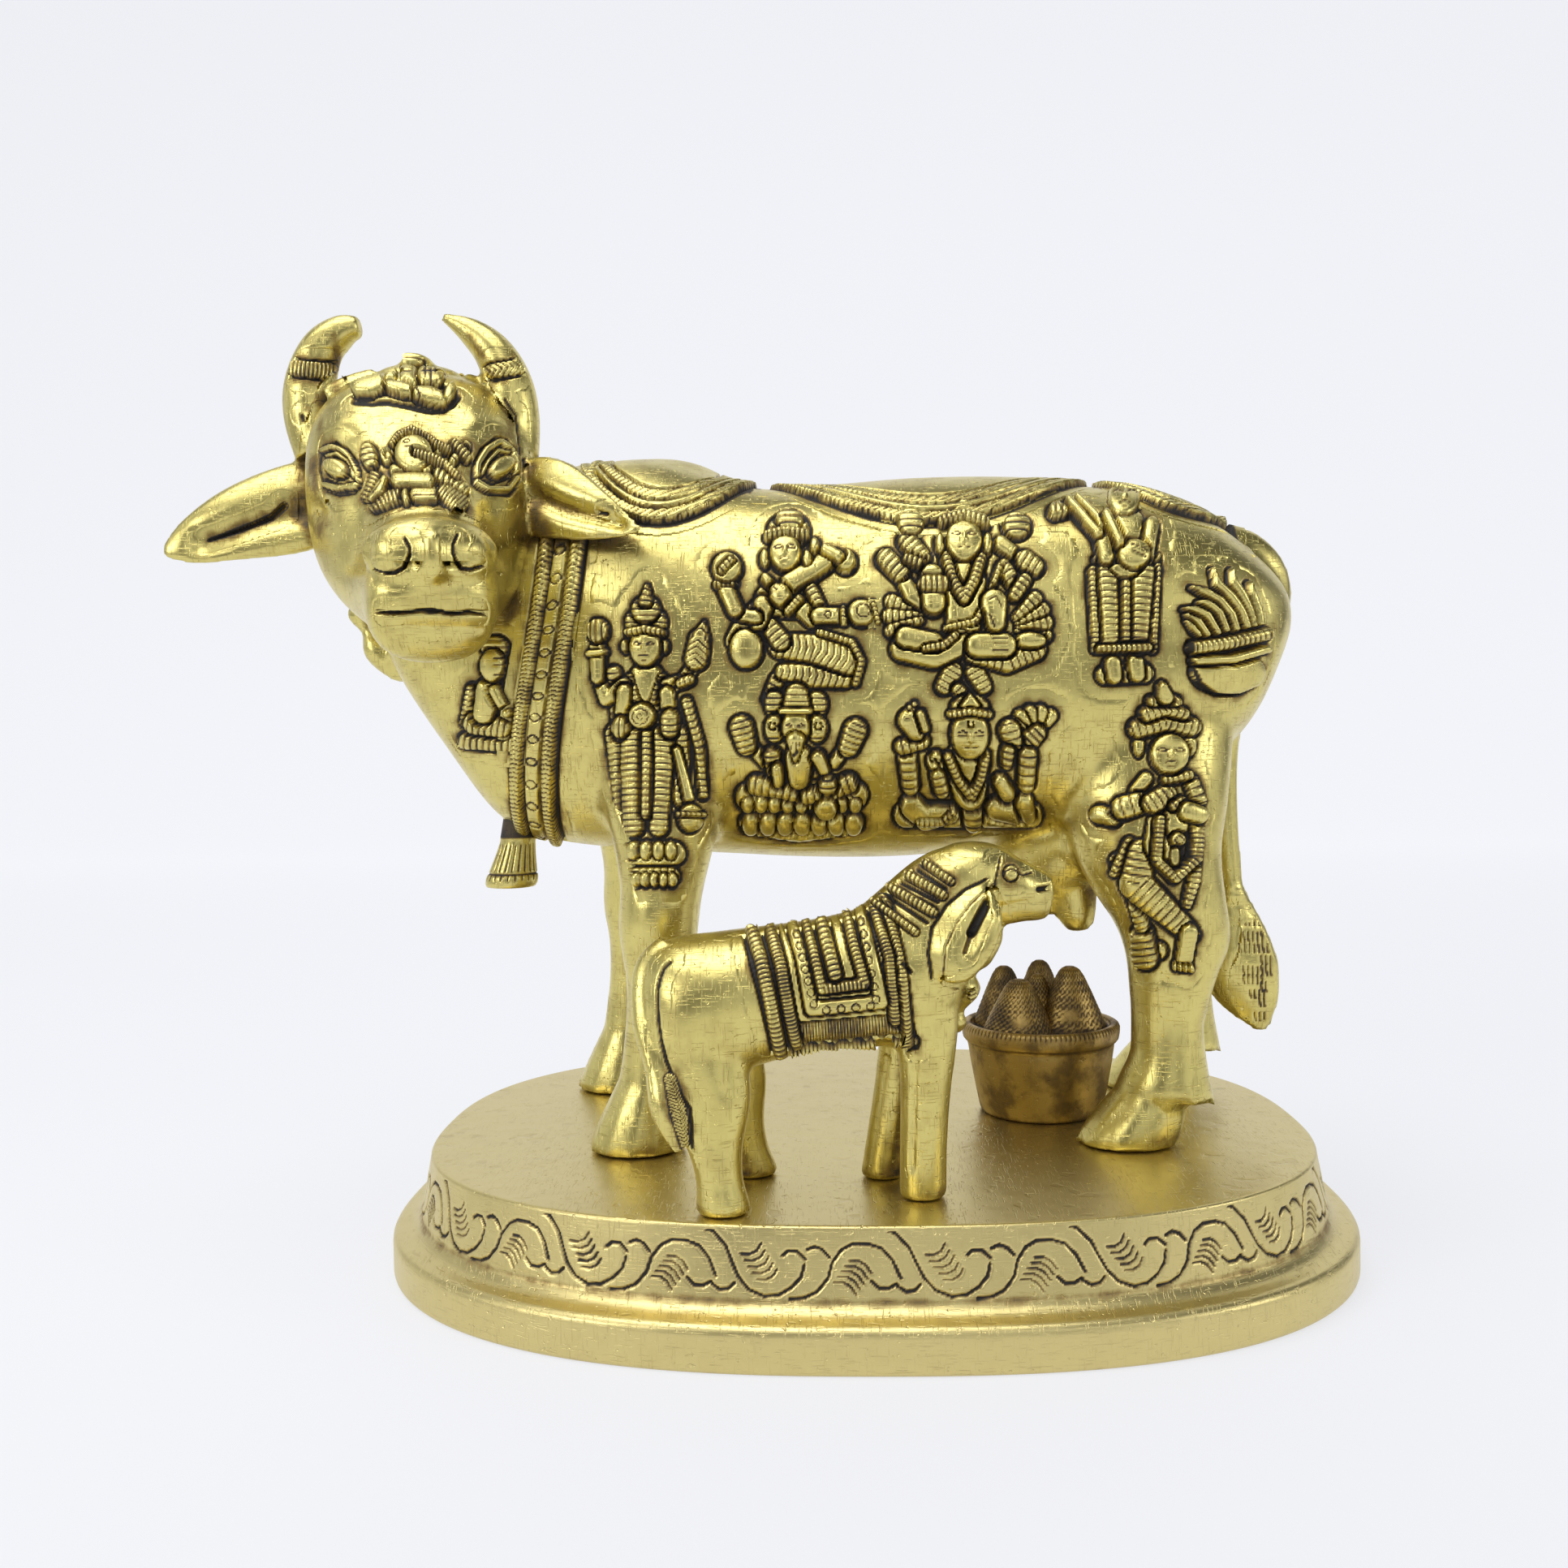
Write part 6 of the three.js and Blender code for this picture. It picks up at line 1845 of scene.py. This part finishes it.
def makePlinth():
    profile, friezeStart = friezeProfile()
    front = evenAngles(np.pi, 2 * np.pi, plinth["frontColumns"])
    back = evenAngles(0, np.pi, plinth["backColumns"])
    angle = np.concatenate([back, front])[None]
    rings = ovalRing(angle, profile[:, :1], profile[:, 1:])
    edge = ovalRing(angle[0], plinth["ledge"] + 1, 0.0)[:, :2]
    steps = np.linalg.norm(np.roll(edge, -1, 0) - edge, axis=1)
    around = np.concatenate([[0], np.cumsum(steps)[:-1]])
    slope = math.hypot(plinth["friezeLean"], friezeHead - friezeFoot) / (friezeHead - friezeFoot)
    up = (profile[:, 1] - (friezeFoot + friezeHead) / 2) * slope
    relief = Relief(*np.meshgrid(around, up))
    bay = steps.sum() / plinth["bays"]
    for k in range(-1, plinth["bays"] + 1):
        relief.start(k * bay, 0, bay / plinth["baySquares"])
        drawScrollBay(relief)
    onFrieze = (up > up[friezeStart]) & (up < 5.9)
    sunk = np.where(onFrieze[:, None], relief.height.reshape(rings.shape[:2]), 0)
    outward = np.stack([np.cos(angle), np.sin(angle), 0 * angle], -1)
    rings = rings + outward * sunk[..., None]
    patina = np.where(onFrieze[:, None], relief.patina.reshape(rings.shape[:2]), 0)
    corner = np.exp(-((profile[:, 1] - friezeFoot) / 0.7) ** 2) * (profile[:, 0] < 8)
    patina = np.maximum(patina, 0.5 * corner[:, None])
    return ringSheet("plinthBody", rings, patina)


plinthPiece = makePlinth()
print("plinth engraved", len(plinthPiece.data.polygons))


# Offering basket with its heaps, and the bell under the neck band. A profile is radius, height
basket = {
    "place": (39, 7),
    "profile": [
        (12.8, 0), (13.3, 0.3), (13.6, 1), (14.5, 5.5), (15.5, 11), (16.1, 15.2), (16.2, 15.8), (16.8, 16.1),
        (17.1, 16.6), (17.3, 17.8), (17.4, 18.9), (17.2, 19.5), (16.7, 19.9), (16.0, 20), (15.4, 19.7),
        (14.9, 18.9), (10, 18.4), (4, 18.4),
    ],
    "columns": 300,
    "nicks": 100,
    # x, y from the basket's middle, radius and height of each heap
    "heaps": [(-5.2, -5.0, 8.2, 12), (6.4, -1.7, 8.0, 14.2), (-7.4, 4.7, 7.0, 13.4), (0.8, 6.1, 6.9, 14.4),
              (-0.3, 0.6, 5.6, 12.2)],
    "heapFoot": 18,
    "heapShape": [(1, 0), (0.8, 0.3), (0.57, 0.62), (0.38, 0.86), (0.26, 0.96), (0.12, 1)],
    "mesh": 1.15,  # gap of the crossed lines on the heaps
}
bell = {
    "place": (-75.2, -2, 62.2),
    "lean": 0.18,
    "profile": [(3.9, 7), (3.9, 1), (3.8, 0), (4.2, -2.4), (4.8, -5), (5.2, -6.7), (5.0, -7.0), (5.5, -7.3),
                (5.65, -8.2), (5.6, -9.3), (5.2, -9.9), (3, -10)],
    "columns": 160,
    "flutes": 22,
}


# Radius, height and angle all over a turned form
def lathe(profile, rows, columns):
    line = np.array(profile, float)
    steps = np.concatenate([[0], np.cumsum(np.linalg.norm(np.diff(line, axis=0), axis=1))])
    along = np.linspace(0, steps[-1], rows)
    radius = np.interp(along, steps, line[:, 0])[:, None]
    height = np.interp(along, steps, line[:, 1])[:, None]
    angle = np.linspace(0, 2 * np.pi, columns, endpoint=False)[None]
    return radius + 0 * angle, height + 0 * radius, angle


def turned(place, radius, height, angle, lean=0.0):
    x, y, foot = place
    return onPlinth(x + lean * height + radius * np.cos(angle), y + radius * np.sin(angle), foot + height)


def makeBasket():
    x, y = basket["place"]
    radius, height, angle = lathe(basket["profile"], 56, basket["columns"])
    onLip = np.clip(1 - np.abs(height - 19.2) / 0.9, 0, 1) ** 0.5 * (radius > 15.2)
    nick = valley(angle, 2 * np.pi / basket["nicks"], 0.018) * onLip
    uneven = 0.12 * np.sin(3 * angle + 0.7) * (height < 15)
    patina = np.maximum(nick, 0.9 * (radius < 15) * (height > 16))
    patina = np.maximum(patina, 0.6 * np.exp(-((height - 15.9) / 0.35) ** 2))
    patina = np.maximum(patina, 0.5 * np.exp(-(height / 1.2) ** 2))
    rings = turned((x, y, 0), radius - 0.35 * nick + uneven, height, angle)
    pieces = [ringSheet("basketShell", rings, patina)]
    for k, (dx, dy, wide, tall) in enumerate(basket["heaps"]):
        shape = [(wide * across, tall * up) for across, up in basket["heapShape"]]
        radius, height, angle = lathe(shape, 36, 110)
        lean = angle * wide * 0.6
        lines = np.maximum(*(valley(lean + side * height, basket["mesh"], 0.3) for side in (1, -1)))
        # the lines are worn off the side that faces front
        smooth = np.clip(2.2 * np.hypot(angle - 4.6, (height / tall - 0.3) * 3), 0, 1)
        lines = lines * smooth
        uneven = 0.35 * np.sin(3 * angle + 2.1 * k) * (1 - height / tall)
        patina = np.maximum(0.8 * lines, 0.8 * np.clip(1 - height / tall * 6, 0, 1))
        patina = np.maximum(patina, 0.45 * (dy > 3))
        place = (x + dx, y + dy, basket["heapFoot"])
        rings = turned(place, radius - 0.22 * lines + uneven, height, angle)
        pieces.append(ringSheet("heap", rings, patina))
    pick(pieces)
    bpy.ops.object.join()
    return bpy.context.object


def makeBell():
    radius, height, angle = lathe(bell["profile"], 44, bell["columns"])
    flute = valley(angle, 2 * np.pi / bell["flutes"], 0.045) * (height < -0.4) * (height > -6.6)
    nick = valley(angle + 0.1, 2 * np.pi / bell["flutes"], 0.04) * (height < -7.1) * (height > -8.3)
    neck = np.exp(-((height + 6.95) / 0.25) ** 2)
    patina = np.maximum(np.maximum(flute, nick), np.maximum(neck, 0.9 * (height > 0.6)))
    rings = turned(bell["place"], radius - 0.25 * np.maximum(flute, nick), height, angle, bell["lean"])
    return ringSheet("neckBell", rings, patina)


basketPiece = makeBasket()
bellPiece = makeBell()
print("basket and bell turned", len(basketPiece.data.polygons), len(bellPiece.data.polygons))


# Painted shade, with brown patina, goes where the casting is hard to reach: short rays tell how shut in a
# place on the skin is
shadeAndPatinaRays = {
    "rays": 22,
    "reach": 24,  # mm
    "start": 1.0,
    "open": 0.18,  # share of occlusion that is still kept bright, with no painted shade
    # how strongly occlusion turns into painted shade and brown patina, and the most of it
    "brown": 1.7,
    "most": 0.8,
    "plinthInset": 8,  # how far in from the plinth's length and width the rays still meet its top
}


def sphereRays(count):
    k = np.arange(count) + 0.5
    up = 1 - 2 * k / count
    turn = k * math.pi * (1 + math.sqrt(5))
    flat = np.sqrt(1 - up**2)
    return np.stack([flat * np.cos(turn), flat * np.sin(turn), up], -1)


def sceneTree(skins):
    points, faces = [], []
    for piece in skins:
        faces += (faceCorners(piece) + len(points)).tolist()
        points += readPoints(piece).tolist()
    halfLong, halfWide = (plinth[side] / 2 - shadeAndPatinaRays["plinthInset"] for side in ("length", "width"))
    faces.append([len(points) + k for k in range(4)])
    points += [(x * halfLong, y * halfWide, plinthTop) for x, y in ((-1, -1), (1, -1), (1, 1), (-1, 1))]
    return BVHTree.FromPolygons(points, faces)


def evenOut(piece, values, rounds):
    ends = np.empty(len(piece.data.edges) * 2, int)
    piece.data.edges.foreach_get("vertices", ends)
    a, b = ends.reshape(-1, 2).T
    size = len(values)
    count = np.maximum(np.bincount(a, minlength=size) + np.bincount(b, minlength=size), 1)
    for _ in range(rounds):
        around = np.bincount(a, values[b], size) + np.bincount(b, values[a], size)
        values = (values + around / count) / 2
    return values


def shutIn(piece, tree):
    points, normals = readPoints(piece), readNormals(piece)
    rays = sphereRays(shadeAndPatinaRays["rays"])
    facing = np.clip(normals @ rays.T - 0.15, 0, 1)
    starts, aims, reach = (points + normals * shadeAndPatinaRays["start"]).tolist(), rays.tolist(), shadeAndPatinaRays["reach"]
    shut = np.zeros(len(points))
    for k, start in enumerate(starts):
        hidden = 0.0
        for j in np.nonzero(facing[k])[0]:
            gap = tree.ray_cast(start, aims[j], reach)[3]
            if gap is not None:
                hidden += facing[k, j] * (1 - gap / reach)
        shut[k] = hidden
    return evenOut(piece, shut / np.maximum(facing.sum(1), 1e-6), 4)


def readPatina(piece):
    values = np.zeros(len(piece.data.vertices), np.float32)
    attribute = piece.data.attributes.get("patina")
    if attribute:
        attribute.data.foreach_get("value", values)
    return values


# Paints shade, with brown patina, into the patina attribute where the skin is shut in
def addOcclusionShadeAndPatina(piece, tree):
    brown = np.clip((shutIn(piece, tree) - shadeAndPatinaRays["open"]) * shadeAndPatinaRays["brown"], 0, shadeAndPatinaRays["most"])
    writePatina(piece, np.maximum(readPatina(piece), brown))


# A patch takes over the patina and painted shade of the skin that it lies on
def shareOcclusionShadeAndPatina(patch, skin, tree):
    ofFace = readPatina(skin)[faceCorners(skin)].mean(1)
    face = [tree.find_nearest(point)[2] for point in readPoints(patch).tolist()]
    writePatina(patch, np.maximum(readPatina(patch), ofFace[face]))


# Painted shade and brown patina from occlusion on the cow, its head and the calf, handed on to their patches
everything = sceneTree([cowBody, cowHead, calfPiece])
for skin, patches in ((cowBody, [patch for patch, _ in cowPatches]), (cowHead, headCarving),
                      (calfPiece, [calfCarving])):
    addOcclusionShadeAndPatina(skin, everything)
    skinFaces = skinTree(skin)
    for patch in patches:
        shareOcclusionShadeAndPatina(patch, skin, skinFaces)
print("shelter worked out")


for piece in [cowBody, cowHead, bellPiece] + [patch for patch, _ in cowPatches] + headCarving:
    dress(piece, "cow", "polished_brass")
for piece in (calfPiece, calfCarving):
    dress(piece, "calf", "polished_brass")
dress(plinthPiece, "plinth", "satin_brass")
dress(basketPiece, "offering_basket", "brown_brass")
